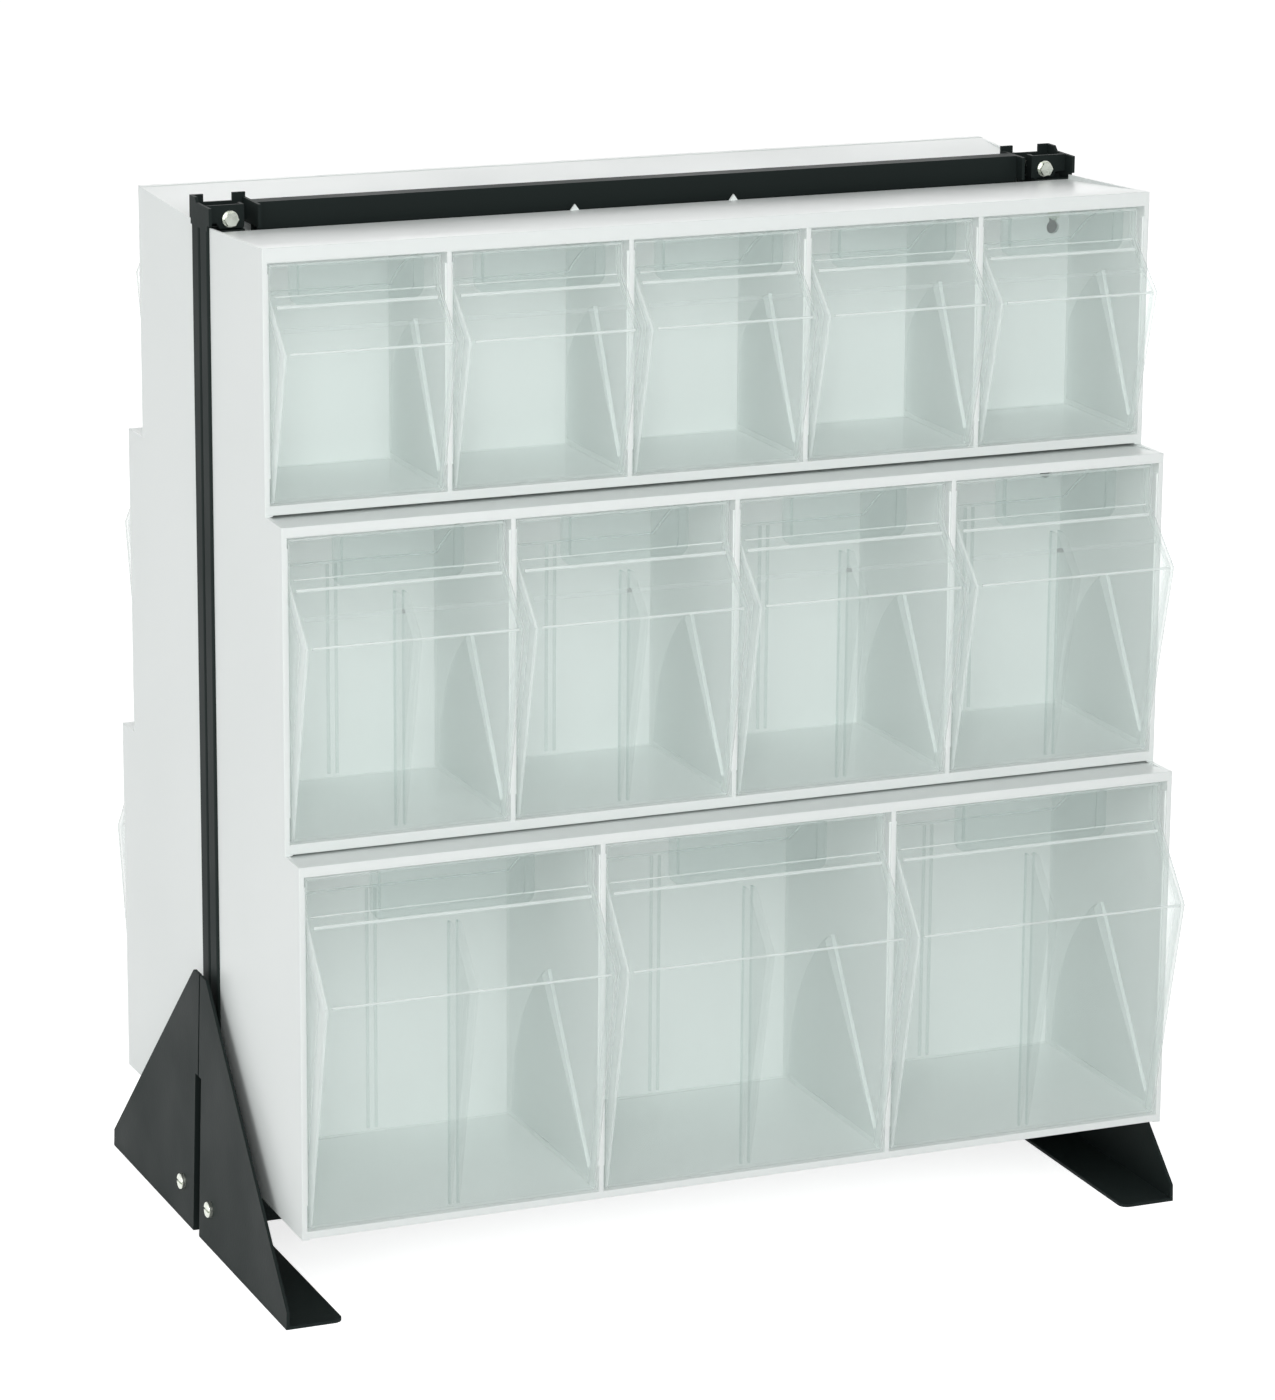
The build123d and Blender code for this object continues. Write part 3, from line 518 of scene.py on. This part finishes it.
def tray_painted_highlight(plan, sizes):
    """Where a painted highlight makes a tray read lighter: along its rim and down both front corners,
    but not on its floor, whose first five and last four rows stay plain."""
    loop = corner_loop(span=9)
    climbs = 5 + len(climb_shares(plan, sizes))
    accent = np.zeros((2 * climbs + 5, len(loop)))
    accent[:, (loop[:, 1] == 0) & (np.abs(loop[:, 2]) > 0.3)] = CORNER_PAINTED_HIGHLIGHT
    accent[:5] = accent[-4:] = 0.0
    accent[climbs : climbs + 6] = RIM_PAINTED_HIGHLIGHT
    return accent


def climb_shares(plan, sizes):
    """Heights to sample up a bin's wall, as shares of its front's height, close together at the
    toe and round each bend."""
    height = plan.top - plan.floor
    bends = (plan.lip[1], plan.ledge, plan.ledge + sizes.ledge_rise)
    near = sizes.kink * np.array([-4, -2, -1, -0.4, 0, 0.4, 1, 2, 4])
    toe = plan.floor + plan.toe * (1 - np.cos(np.linspace(0.25, pi / 2, 5)))
    levels = [toe, np.linspace(plan.floor + plan.toe, plan.lip[1], 5)[1:-1]]
    levels += [bend + near for bend in bends]
    levels.append([(plan.lip[1] + plan.ledge) / 2, plan.top - sizes.wall])
    found = np.unique(np.round(np.concatenate(levels), 6))
    return (found[found <= plan.top - sizes.wall / 2] - plan.floor) / height


def label_pad(plan, sizes):
    """Raised label pad: a bar bent into a U with round inner corners, and a thin plate in it."""
    half = plan.pad_width / 2 - sizes.pad_rim / 2
    low, high = plan.ledge + sizes.pad_rim / 2, plan.top - sizes.edge
    bend = sizes.pad_rim
    angle = np.linspace(0, pi / 2, 6)
    y = plan.panel - sizes.recess / 2 + sizes.edge
    right = np.stack([half - bend + bend * np.sin(angle), low + bend - bend * np.cos(angle)], axis=1)
    left = right[::-1] * (-1, 1)
    outline = np.concatenate([[(-half, high)], left, right, [(half, high)]])
    path = np.stack([plan.middle + outline[:, 0], np.full(len(outline), y), outline[:, 1]], axis=1)
    across = np.tile((0.0, 1.0, 0.0), (len(path), 1))
    frame_bar = bar_along(path, across, sizes.recess + sizes.edge, sizes.pad_rim, sizes.edge)
    inner = half - sizes.pad_rim / 2
    foot = low + sizes.pad_rim / 2
    outline = box_outline((plan.middle - inner, foot), (plan.middle + inner, high), bend / 2)
    back = plan.panel + sizes.edge
    plate = rounded_plate(outline, plan.panel - sizes.pad_floor, back, sizes.edge, axis=1)
    return [frame_bar, plate]


def cross_bar(plan, sizes, y, z, tilt, height):
    """A small bar across the front of a bin, its flat side tilted back by an angle."""
    x = np.linspace(plan.left + 2 * sizes.corner, plan.right - 2 * sizes.corner, 6)
    path = np.stack([x, np.full(6, y), np.full(6, z)], axis=1)
    across = np.tile((0.0, sin(tilt), cos(tilt)), (6, 1))
    return bar_along(path, across, height, sizes.bead, sizes.edge)


def edge_bars(plan, sizes):
    """Beads along both bends of the ledge and along the lip, which catch light and carry a painted highlight."""
    top = plan.ledge + sizes.ledge_rise
    lip = plan.lip[0] + sizes.bead / 2
    return [
        cross_bar(plan, sizes, plan.panel, top, 0.0, sizes.bead),
        cross_bar(plan, sizes, plan.front + sizes.edge, plan.ledge, 0.0, 2 * sizes.bead),
        cross_bar(plan, sizes, lip, plan.lip[1], 0.0, 1.5 * sizes.bead),
    ]


def slope_ridge(plan, sizes):
    """A low ridge along the middle of the upper slope."""
    z = (plan.lip[1] + plan.ledge) / 2
    y = front_line(np.array([z]), plan, sizes)[0]
    tilt = atan2(plan.front - plan.lip[0], plan.ledge - plan.lip[1])
    return [cross_bar(plan, sizes, y, z, tilt, sizes.ridge)]


def rib_webs(plan, sizes):
    """Two webs at mid-width, each from the sloping front wall back to an upright edge."""
    kink = 2 * sizes.kink
    foot, head = plan.floor + plan.toe, plan.ledge - sizes.ledge_rise
    levels = np.array([foot, plan.lip[1] - kink, plan.lip[1] + kink, head])
    front = np.stack([front_line(levels, plan, sizes) + sizes.wall / 2, levels], axis=1)
    upright = plan.front + sizes.rib_inset
    outline = np.concatenate([front, [(upright, head), (upright, foot)]])
    webs = []
    for side in (-0.5, 0.5):
        x = plan.middle + side * sizes.rib_spacing
        half = sizes.rib_width / 2
        webs.append(rounded_plate(outline, x - half, x + half, sizes.edge, axis=0))
    return webs


def web_painted_shade():
    """Where a painted shade makes a web read darker: along its upright edge, the last two points of its outline.
    """
    accent = np.zeros((10, 6))
    accent[2:-2, 4:] = WEB_PAINTED_SHADE
    return accent


def rib_lines(plan, sizes):
    """Two bars up the back wall, in line with the webs."""
    inset = sizes.wall + sizes.rib_proud / 2 - sizes.edge
    ends = (plan.floor + 2 * inset, top_line(plan, 1.0) - sizes.wall)
    across = np.tile((1.0, 0.0, 0.0), (2, 1))
    middles = (plan.middle - sizes.rib_spacing / 2, plan.middle + sizes.rib_spacing / 2)
    paths = [[(x, plan.back - inset, z) for z in ends] for x in middles]
    height = sizes.rib_proud + sizes.edge
    return [bar_along(path, across, sizes.rib_width, height, sizes.edge) for path in paths]


def round_pivot(plan, angle, radius):
    """Points (y, z) at angles above level and radii from a bin's pivot: the pivot plus the radius
    times the cosine and the sine."""
    return np.stack([plan.pivot[0] + radius * np.cos(angle), plan.pivot[1] + radius * np.sin(angle)], axis=1)


def stop_ramps(plan, sizes):
    """Thin wedges on both side walls, which widen from the trunnions out along the sectors' edge."""
    stop = pi / 2 - plan.swing
    near, far = sizes.ramp_near * plan.sector, sizes.ramp_far * plan.sector
    turns = np.array([stop, stop, stop + sizes.ramp_turn, stop + sizes.ramp_turn])
    outline = round_pivot(plan, turns, np.array([near, far, far, near]))
    proud, edge = 0.75 * sizes.edge, sizes.edge / 4
    return [
        rounded_plate(outline, low - proud, low + sizes.wall + proud, edge, axis=0)
        for low in (plan.left, plan.right - sizes.wall)
    ]


def side_sectors(plan, sizes):
    """A flat sector on each side, which meets the stop bead when the bin is out: an arc round the
    pivot from level to the stop angle, cut off at the bin's back and closed at the pivot."""
    stop = pi / 2 - plan.swing
    angle = np.linspace(0, stop, 18)
    arc = round_pivot(plan, angle, plan.sector)
    arc[:, 0] = np.minimum(arc[:, 0], plan.back - sizes.edge)
    outline = np.concatenate([[plan.pivot], arc])
    proud, bite = 0.001, sizes.edge
    return [
        rounded_plate(outline, plan.left - proud, plan.left + bite, sizes.edge / 2, axis=0),
        rounded_plate(outline, plan.right - bite, plan.right + proud, sizes.edge / 2, axis=0),
    ]


def trunnions(plan, sizes):
    """Two short pins with rounded ends, turned about the pivot."""
    radius, reach, edge = sizes.pin_radius, sizes.pin_reach, sizes.edge
    profile = [(-edge, 0.0), (-edge, radius), (reach - edge, radius), (reach, radius - edge), (reach, 0.0)]
    pins = []
    for x, side in ((plan.left, -1), (plan.right, 1)):
        along = [(distance * side, ring) for distance, ring in profile]
        pins.append(turned(along, (x, *plan.pivot), axis=0))
    return pins


class BINSTAND_OT_clear_bins(Operator):
    """Build every clear bin with its label pad, ribs, sectors and trunnions. Lamps and bounced
    light pass through the bins"""

    bl_idname = "binstand.clear_bins"
    bl_label = "Clear bins"

    def execute(self, context):
        settings = context.scene.bin_stand
        sizes, cases = settings.bins, settings.cases
        material = bpy.data.materials["clear plastic"]
        for face in FACES:
            for level, tier in enumerate(TIERS):
                for number in range(1, int(cases.bays[level]) + 1):
                    plan = BinPlan(face, tier, number, sizes, cases)
                    # Painted light per group: a painted highlight on the tray's rim and front corners, the stop
                    # ramps, beads and ridge; a painted shade on the label pad, the webs' upright edges and the
                    # back-wall ribs
                    groups = [
                        ([tray_surface(plan, sizes)], tray_painted_highlight(plan, sizes)),
                        (label_pad(plan, sizes), PAD_PAINTED_SHADE),
                        (side_sectors(plan, sizes) + trunnions(plan, sizes), 0.0),
                        (stop_ramps(plan, sizes), RAMP_PAINTED_HIGHLIGHT),
                        (edge_bars(plan, sizes), BEAD_PAINTED_HIGHLIGHT),
                        (slope_ridge(plan, sizes) if plan.ridged else [], RIDGE_PAINTED_HIGHLIGHT),
                        (rib_webs(plan, sizes) if plan.ribbed else [], web_painted_shade()),
                        (rib_lines(plan, sizes) if plan.ribbed else [], LINE_PAINTED_SHADE),
                    ]
                    grids = [grid for group, _ in groups for grid in group]
                    painted_lights = [accent for group, accent in groups for _ in group]
                    piece = build_piece(f"clear_{plan.node}", grids, plan.turn, painted_lights)
                    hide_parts(plan.node)
                    finish_piece(piece, plan.body, material)
                    piece.visible_shadow = piece.visible_diffuse = False
        return {"FINISHED"}


# ---- cabinet rims ----------------------------------------------------------------------------


def rim_bars(low, high, level, cases):
    """The moulded rims round a cabinet's bays, as rounded bars that just cover its front edges.
    The upright bars end inside the level ones and stand a little less proud."""
    skin, depth, edge = cases.skin, cases.rim_depth, cases.rim_round
    floor = low[2] + cases.stack_gap
    opening_low = floor + cases.floor_rim[level]
    opening_high = high[2] - cases.top_rim[level]
    level_bars = [
        ((low[0] - skin, floor - skin), (high[0] + skin, opening_low + skin)),
        ((low[0] - skin, opening_high - skin), (high[0] + skin, high[2] + skin)),
    ]
    foot, head, inner = opening_low - 2 * edge, opening_high + 2 * edge, cases.end_wall + skin / 2
    upright_bars = [
        ((low[0] - skin / 2, foot), (low[0] + inner, head)),
        ((high[0] - inner, foot), (high[0] + skin / 2, head)),
    ]
    bays = int(cases.bays[level])
    for number in range(1, bays):
        x = low[0] + (high[0] - low[0]) * number / bays
        half = (cases.divider + skin) / 2
        upright_bars.append(((x - half, foot), (x + half, head)))
    bars = []
    for spans, proud in ((level_bars, cases.proud), (upright_bars, cases.proud / 2)):
        for a, b in spans:
            outline = box_outline(a, b, edge)
            bars.append(rounded_plate(outline, low[1] - proud, low[1] + depth, edge, axis=1))
    return bars


class BINSTAND_OT_case_rims(Operator):
    """Build the rounded front rims of the six cabinets"""

    bl_idname = "binstand.case_rims"
    bl_label = "Cabinet rims"

    def execute(self, context):
        cases = context.scene.bin_stand.cases
        material = bpy.data.materials["case plastic"]
        for face in FACES:
            turn = 1 if face == "front" else -1
            for level, tier in enumerate(TIERS):
                low, high = turned_box(f"cabinet_{face}_{tier}", turn)
                piece = build_piece(f"rims_{face}_{tier}", rim_bars(low, high, level, cases), turn)
                finish_piece(piece, "stand", material)
        return {"FINISHED"}


# ---- finishes --------------------------------------------------------------------------------


def new_material(name):
    """An empty node material and its output node."""
    material = bpy.data.materials.new(name)
    material.use_nodes = True
    nodes = material.node_tree.nodes
    nodes.clear()
    return material, nodes, material.node_tree.links, nodes.new("ShaderNodeOutputMaterial")


def noise(nodes, links, scale, detail=3.0, stretch=(1, 1, 1)):
    """Noise on Object coordinates, so that it stays with the piece in any view."""
    place = nodes.new("ShaderNodeTexCoord")
    mapping = nodes.new("ShaderNodeMapping")
    mapping.inputs["Scale"].default_value = stretch
    texture = nodes.new("ShaderNodeTexNoise")
    texture.inputs["Scale"].default_value = scale
    texture.inputs["Detail"].default_value = detail
    links.new(place.outputs["Object"], mapping.inputs["Vector"])
    links.new(mapping.outputs["Vector"], texture.inputs["Vector"])
    return texture.outputs["Fac"]


def spread(nodes, links, source, low, high, ends=(0.3, 0.7)):
    """Map noise, or another source that runs between two ends, to two values."""
    ranged = nodes.new("ShaderNodeMapRange")
    ranged.inputs["From Min"].default_value = ends[0]
    ranged.inputs["From Max"].default_value = ends[1]
    ranged.inputs["To Min"].default_value = low
    ranged.inputs["To Max"].default_value = high
    links.new(source, ranged.inputs["Value"])
    return ranged.outputs["Result"]


def shade(nodes, links, source, colour, amount):
    """A colour that drifts a little lighter and darker with the noise."""
    mix = nodes.new("ShaderNodeMix")
    mix.data_type = "RGBA"
    mix.inputs["A"].default_value = (*[c * (1 - amount) for c in colour], 1)
    mix.inputs["B"].default_value = (*[min(1, c * (1 + amount)) for c in colour], 1)
    links.new(source, mix.inputs["Factor"])
    return mix.outputs["Result"]


def relief(nodes, links, source, strength, depth):
    """A bump from noise, with its depth in metres."""
    bump = nodes.new("ShaderNodeBump")
    bump.inputs["Strength"].default_value = strength
    bump.inputs["Distance"].default_value = depth
    links.new(source, bump.inputs["Height"])
    return bump.outputs["Normal"]


def case_plastic(finishes):
    """Satin moulded white: slow drift of tone, fine texture and faint sink marks."""
    material, nodes, links, output = new_material("case plastic")
    shader = nodes.new("ShaderNodeBsdfPrincipled")
    drift = noise(nodes, links, 7.0, 2.0)
    grain = noise(nodes, links, 900.0, 2.0)
    links.new(shade(nodes, links, drift, finishes.case_white, 0.015), shader.inputs["Base Color"])
    links.new(spread(nodes, links, drift, 0.30, 0.42), shader.inputs["Roughness"])
    links.new(relief(nodes, links, grain, 0.25, 0.0001), shader.inputs["Normal"])
    shader.inputs["IOR"].default_value = PLASTIC_IOR
    links.new(shader.outputs["BSDF"], output.inputs["Surface"])
    return material


def clear_plastic(finishes):
    """Clear moulded plastic as thin skins: a tinted see-through skin under a glossy, faintly milky
    one, whose share grows with Fresnel, so that edges and bends read light. Fresnel takes the
    inverse index on a back face, so both faces of a wall gloss alike. A painted highlight raises that
    share on beads, rims, ramps and front corners, and a painted shade darkens the see-through colour
    in ribs, webs and the label pad. Slow flow waves ripple the gloss."""
    material, nodes, links, output = new_material("clear plastic")
    through = nodes.new("ShaderNodeBsdfTransparent")
    accent = nodes.new("ShaderNodeAttribute")
    accent.attribute_name = "accent"
    # Painted shade: below zero, the painted light value mixes the see-through colour towards the darker edge
    # colour
    tint_and_painted_shade = nodes.new("ShaderNodeMix")
    tint_and_painted_shade.data_type = "RGBA"
    tint_and_painted_shade.inputs["A"].default_value = (*finishes.clear_tint, 1)
    tint_and_painted_shade.inputs["B"].default_value = (*finishes.painted_edge_shade, 1)
    links.new(spread(nodes, links, accent.outputs["Fac"], 0.0, 1.0, (0.0, -1.0)), tint_and_painted_shade.inputs["Factor"])
    links.new(tint_and_painted_shade.outputs["Result"], through.inputs["Color"])
    skin = nodes.new("ShaderNodeBsdfPrincipled")
    skin.inputs["Base Color"].default_value = (*finishes.clear_milk_and_painted_highlight, 1)
    skin.inputs["IOR"].default_value = PLASTIC_IOR
    flow = noise(nodes, links, 16.0, 1.0, (1, 1, 0.5))
    ripple = relief(nodes, links, flow, 0.03, 0.002)
    links.new(spread(nodes, links, flow, 0.06, 0.14), skin.inputs["Roughness"])
    links.new(ripple, skin.inputs["Normal"])
    gloss = nodes.new("ShaderNodeFresnel")
    side = nodes.new("ShaderNodeNewGeometry").outputs["Backfacing"]
    links.new(spread(nodes, links, side, PLASTIC_IOR, 1 / PLASTIC_IOR, (0.0, 1.0)), gloss.inputs["IOR"])
    share = nodes.new("ShaderNodeMath")
    share.operation = "MULTIPLY_ADD"
    share.use_clamp = True
    share.inputs[1].default_value = 0.8
    links.new(gloss.outputs["Fac"], share.inputs[0])
    # Milkiness that drifts with the flow noise, plus a painted highlight: above zero, the painted light value adds
    # up to 0.6 to the milky share
    milkiness_and_painted_highlight = nodes.new("ShaderNodeMath")
    links.new(spread(nodes, links, flow, 0.02, 0.04), milkiness_and_painted_highlight.inputs[0])
    links.new(spread(nodes, links, accent.outputs["Fac"], 0.0, 0.6, (0.0, 1.0)), milkiness_and_painted_highlight.inputs[1])
    links.new(milkiness_and_painted_highlight.outputs["Value"], share.inputs[2])
    mix = nodes.new("ShaderNodeMixShader")
    links.new(share.outputs["Value"], mix.inputs["Fac"])
    links.new(through.outputs["BSDF"], mix.inputs[1])
    links.new(skin.outputs["BSDF"], mix.inputs[2])
    links.new(mix.outputs["Shader"], output.inputs["Surface"])
    return material


def coated_steel(finishes):
    """Satin black powder coat: orange-peel texture and a slow drift of sheen."""
    material, nodes, links, output = new_material("coated steel")
    shader = nodes.new("ShaderNodeBsdfPrincipled")
    drift = noise(nodes, links, 11.0, 3.0)
    peel = noise(nodes, links, 420.0, 2.0)
    links.new(shade(nodes, links, drift, finishes.steel_black, 0.12), shader.inputs["Base Color"])
    links.new(spread(nodes, links, drift, 0.52, 0.66), shader.inputs["Roughness"])
    shader.inputs["Specular IOR Level"].default_value = 0.1
    links.new(relief(nodes, links, peel, 0.35, 0.0002), shader.inputs["Normal"])
    links.new(shader.outputs["BSDF"], output.inputs["Surface"])
    return material


def plated_zinc(finishes):
    """Zinc plate with fine turning marks and a patchy sheen."""
    material, nodes, links, output = new_material("plated zinc")
    shader = nodes.new("ShaderNodeBsdfPrincipled")
    shader.inputs["Metallic"].default_value = 1.0
    patch = noise(nodes, links, 260.0, 3.0)
    scratch = noise(nodes, links, 1500.0, 2.0, (0.2, 1, 1))
    links.new(shade(nodes, links, patch, finishes.zinc, 0.14), shader.inputs["Base Color"])
    links.new(spread(nodes, links, patch, 0.2, 0.38), shader.inputs["Roughness"])
    links.new(relief(nodes, links, scratch, 0.3, 0.00005), shader.inputs["Normal"])
    links.new(shader.outputs["BSDF"], output.inputs["Surface"])
    return material


class BINSTAND_OT_finishes(Operator):
    """Make the four finishes and give them to the frame's own parts"""

    bl_idname = "binstand.finishes"
    bl_label = "Finishes"

    def execute(self, context):
        finishes = context.scene.bin_stand.finishes
        by_slot = {
            "cabinet_plastic": case_plastic(finishes),
            "bin_plastic": clear_plastic(finishes),
            "stand_steel": coated_steel(finishes),
            "screw_zinc": plated_zinc(finishes),
        }
        by_slot["plug_steel"] = by_slot["screw_zinc"]
        for part in frame["record"]["subparts"]:
            node = frame["nodes"][part["node"]]
            material = by_slot[part["material_slot"]]
            if not node.material_slots:
                node.data.materials.append(material)
            for slot in node.material_slots:
                slot.material = material
        return {"FINISHED"}


# ---- studio ----------------------------------------------------------------------------------


def place_camera(scene):
    """The photograph's camera: on a line from its target at the azimuth and elevation, rolled a
    little, with the picture's middle as its principal point."""
    azimuth, elevation = radians(CAMERA_AZIMUTH), radians(CAMERA_ELEVATION)
    towards = Vector((sin(azimuth) * cos(elevation), -cos(azimuth) * cos(elevation), sin(elevation)))
    right = Vector((cos(azimuth), sin(azimuth), 0))
    up = towards.cross(right)
    roll = radians(CAMERA_ROLL)
    rolled_right = right * cos(roll) + up * sin(roll)
    rolled_up = up * cos(roll) - right * sin(roll)
    data = bpy.data.cameras.new("photo camera")
    data.sensor_fit = "HORIZONTAL"
    data.sensor_width = SENSOR_WIDTH
    data.lens = FOCAL_PIXELS / PHOTO_WIDTH * SENSOR_WIDTH
    data.clip_end = 100.0
    camera = bpy.data.objects.new("photo camera", data)
    turn = Matrix((rolled_right, rolled_up, towards)).transposed()
    place = Vector(CAMERA_TARGET) + towards * CAMERA_DISTANCE
    camera.matrix_world = Matrix.Translation(place) @ turn.to_4x4()
    scene.collection.objects.link(camera)
    scene.camera = camera


def add_lamp(scene, name, place, target, power, side):
    """A square soft lamp at a place, turned to a target."""
    data = bpy.data.lights.new(name, "AREA")
    data.energy = power
    data.size = side
    lamp = bpy.data.objects.new(name, data)
    direction = Vector(target) - Vector(place)
    lamp.matrix_world = Matrix.Translation(place) @ direction.to_track_quat("-Z", "Y").to_matrix().to_4x4()
    scene.collection.objects.link(lamp)


def seen_level(nodes, links, lit, seen):
    """A level that is one number for light and another where the camera, a mirror or glass looks."""
    path = nodes.new("ShaderNodeLightPath")
    either = [nodes.new("ShaderNodeMath") for _ in range(2)]
    level = nodes.new("ShaderNodeMapRange")
    level.inputs["To Min"].default_value = lit
    level.inputs["To Max"].default_value = seen
    for step in either:
        step.operation = "MAXIMUM"
    links.new(path.outputs["Is Camera Ray"], either[0].inputs[0])
    links.new(path.outputs["Is Glossy Ray"], either[0].inputs[1])
    links.new(either[0].outputs["Value"], either[1].inputs[0])
    links.new(path.outputs["Is Transmission Ray"], either[1].inputs[1])
    links.new(either[1].outputs["Value"], level.inputs["Value"])
    return level.outputs["Result"]


def white_world(scene, ambient):
    """White where it is seen, and the ambient level as light."""
    world = bpy.data.worlds.new("studio")
    world.use_nodes = True
    nodes, links = world.node_tree.nodes, world.node_tree.links
    background = nodes["Background"]
    background.inputs["Color"].default_value = (1, 1, 1, 1)
    links.new(seen_level(nodes, links, ambient, 1.0), background.inputs["Strength"])
    scene.world = world


def pale_floor(studio):
    """A wide pale floor that takes the stand's soft shadow and reads white away from it."""
    half = studio.floor_half
    mesh = bpy.data.meshes.new("floor")
    corners = [(-half, -half, 0), (half, -half, 0), (half, half, 0), (-half, half, 0)]
    mesh.from_pydata(corners, [], [(0, 1, 2, 3)])
    floor = bpy.data.objects.new("floor", mesh)
    material, nodes, links, output = new_material("floor")
    shader = nodes.new("ShaderNodeBsdfPrincipled")
    shader.inputs["Base Color"].default_value = (*studio.floor_colour, 1)
    shader.inputs["Roughness"].default_value = 0.9
    shader.inputs["Specular IOR Level"].default_value = 0.0
    shader.inputs["Emission Color"].default_value = (1, 1, 1, 1)
    links.new(seen_level(nodes, links, 0.0, studio.floor_glow), shader.inputs["Emission Strength"])
    links.new(shader.outputs["BSDF"], output.inputs["Surface"])
    mesh.materials.append(material)
    bpy.context.scene.collection.objects.link(floor)


class BINSTAND_OT_studio(Operator):
    """Set the floor, lamps, world and the photograph's camera"""

    bl_idname = "binstand.studio"
    bl_label = "Studio"

    def execute(self, context):
        scene, studio = context.scene, context.scene.bin_stand.studio
        middle = (0.0, 0.0, CAMERA_TARGET[2])
        side = studio.lamp_size / 10
        scene.view_settings.view_transform = "Standard"
        white_world(scene, studio.ambient)
        pale_floor(studio)
        add_lamp(scene, "key", (-0.9, -3.2, 1.9), middle, studio.key_power, side)
        add_lamp(scene, "side fill", (-3.0, -0.4, 1.2), middle, studio.fill_power, side)
        add_lamp(scene, "rear fill", (1.6, 3.0, 1.5), middle, studio.fill_power, side)
        place_camera(scene)
        return {"FINISHED"}


# ---- panel and registration ------------------------------------------------------------------


class BINSTAND_PT_panel(Panel):
    """The stand's settings and steps in the sidebar"""

    bl_label = "Bin Stand"
    bl_idname = "BINSTAND_PT_panel"
    bl_space_type = "VIEW_3D"
    bl_region_type = "UI"
    bl_category = "Bin Stand"

    def draw(self, context):
        settings = context.scene.bin_stand
        for step in STEPS:
            self.layout.operator(step.bl_idname)
        for group in (settings.bins, settings.cases, settings.finishes, settings.studio):
            box = self.layout.box()
            for name in group.__annotations__:
                box.prop(group, name)


GROUPS = (BinSizes, CaseSizes, Finishes, Studio, StandSettings)
STEPS = (
    BINSTAND_OT_finishes,
    BINSTAND_OT_clear_bins,
    BINSTAND_OT_case_rims,
    BINSTAND_OT_studio,
)


def register():
    """Register every class and hang the settings on the scene."""
    for entry in (*GROUPS, *STEPS, BINSTAND_PT_panel):
        bpy.utils.register_class(entry)
    bpy.types.Scene.bin_stand = PointerProperty(type=StandSettings)


def unregister():
    """Undo register."""
    del bpy.types.Scene.bin_stand
    for entry in reversed((*GROUPS, *STEPS, BINSTAND_PT_panel)):
        bpy.utils.unregister_class(entry)


def main():
    """Build the stand's looks in order."""
    register()
    bpy.ops.binstand.finishes()
    bpy.ops.binstand.clear_bins()
    bpy.ops.binstand.case_rims()
    bpy.ops.binstand.studio()


if __name__ == "__main__":
    main()
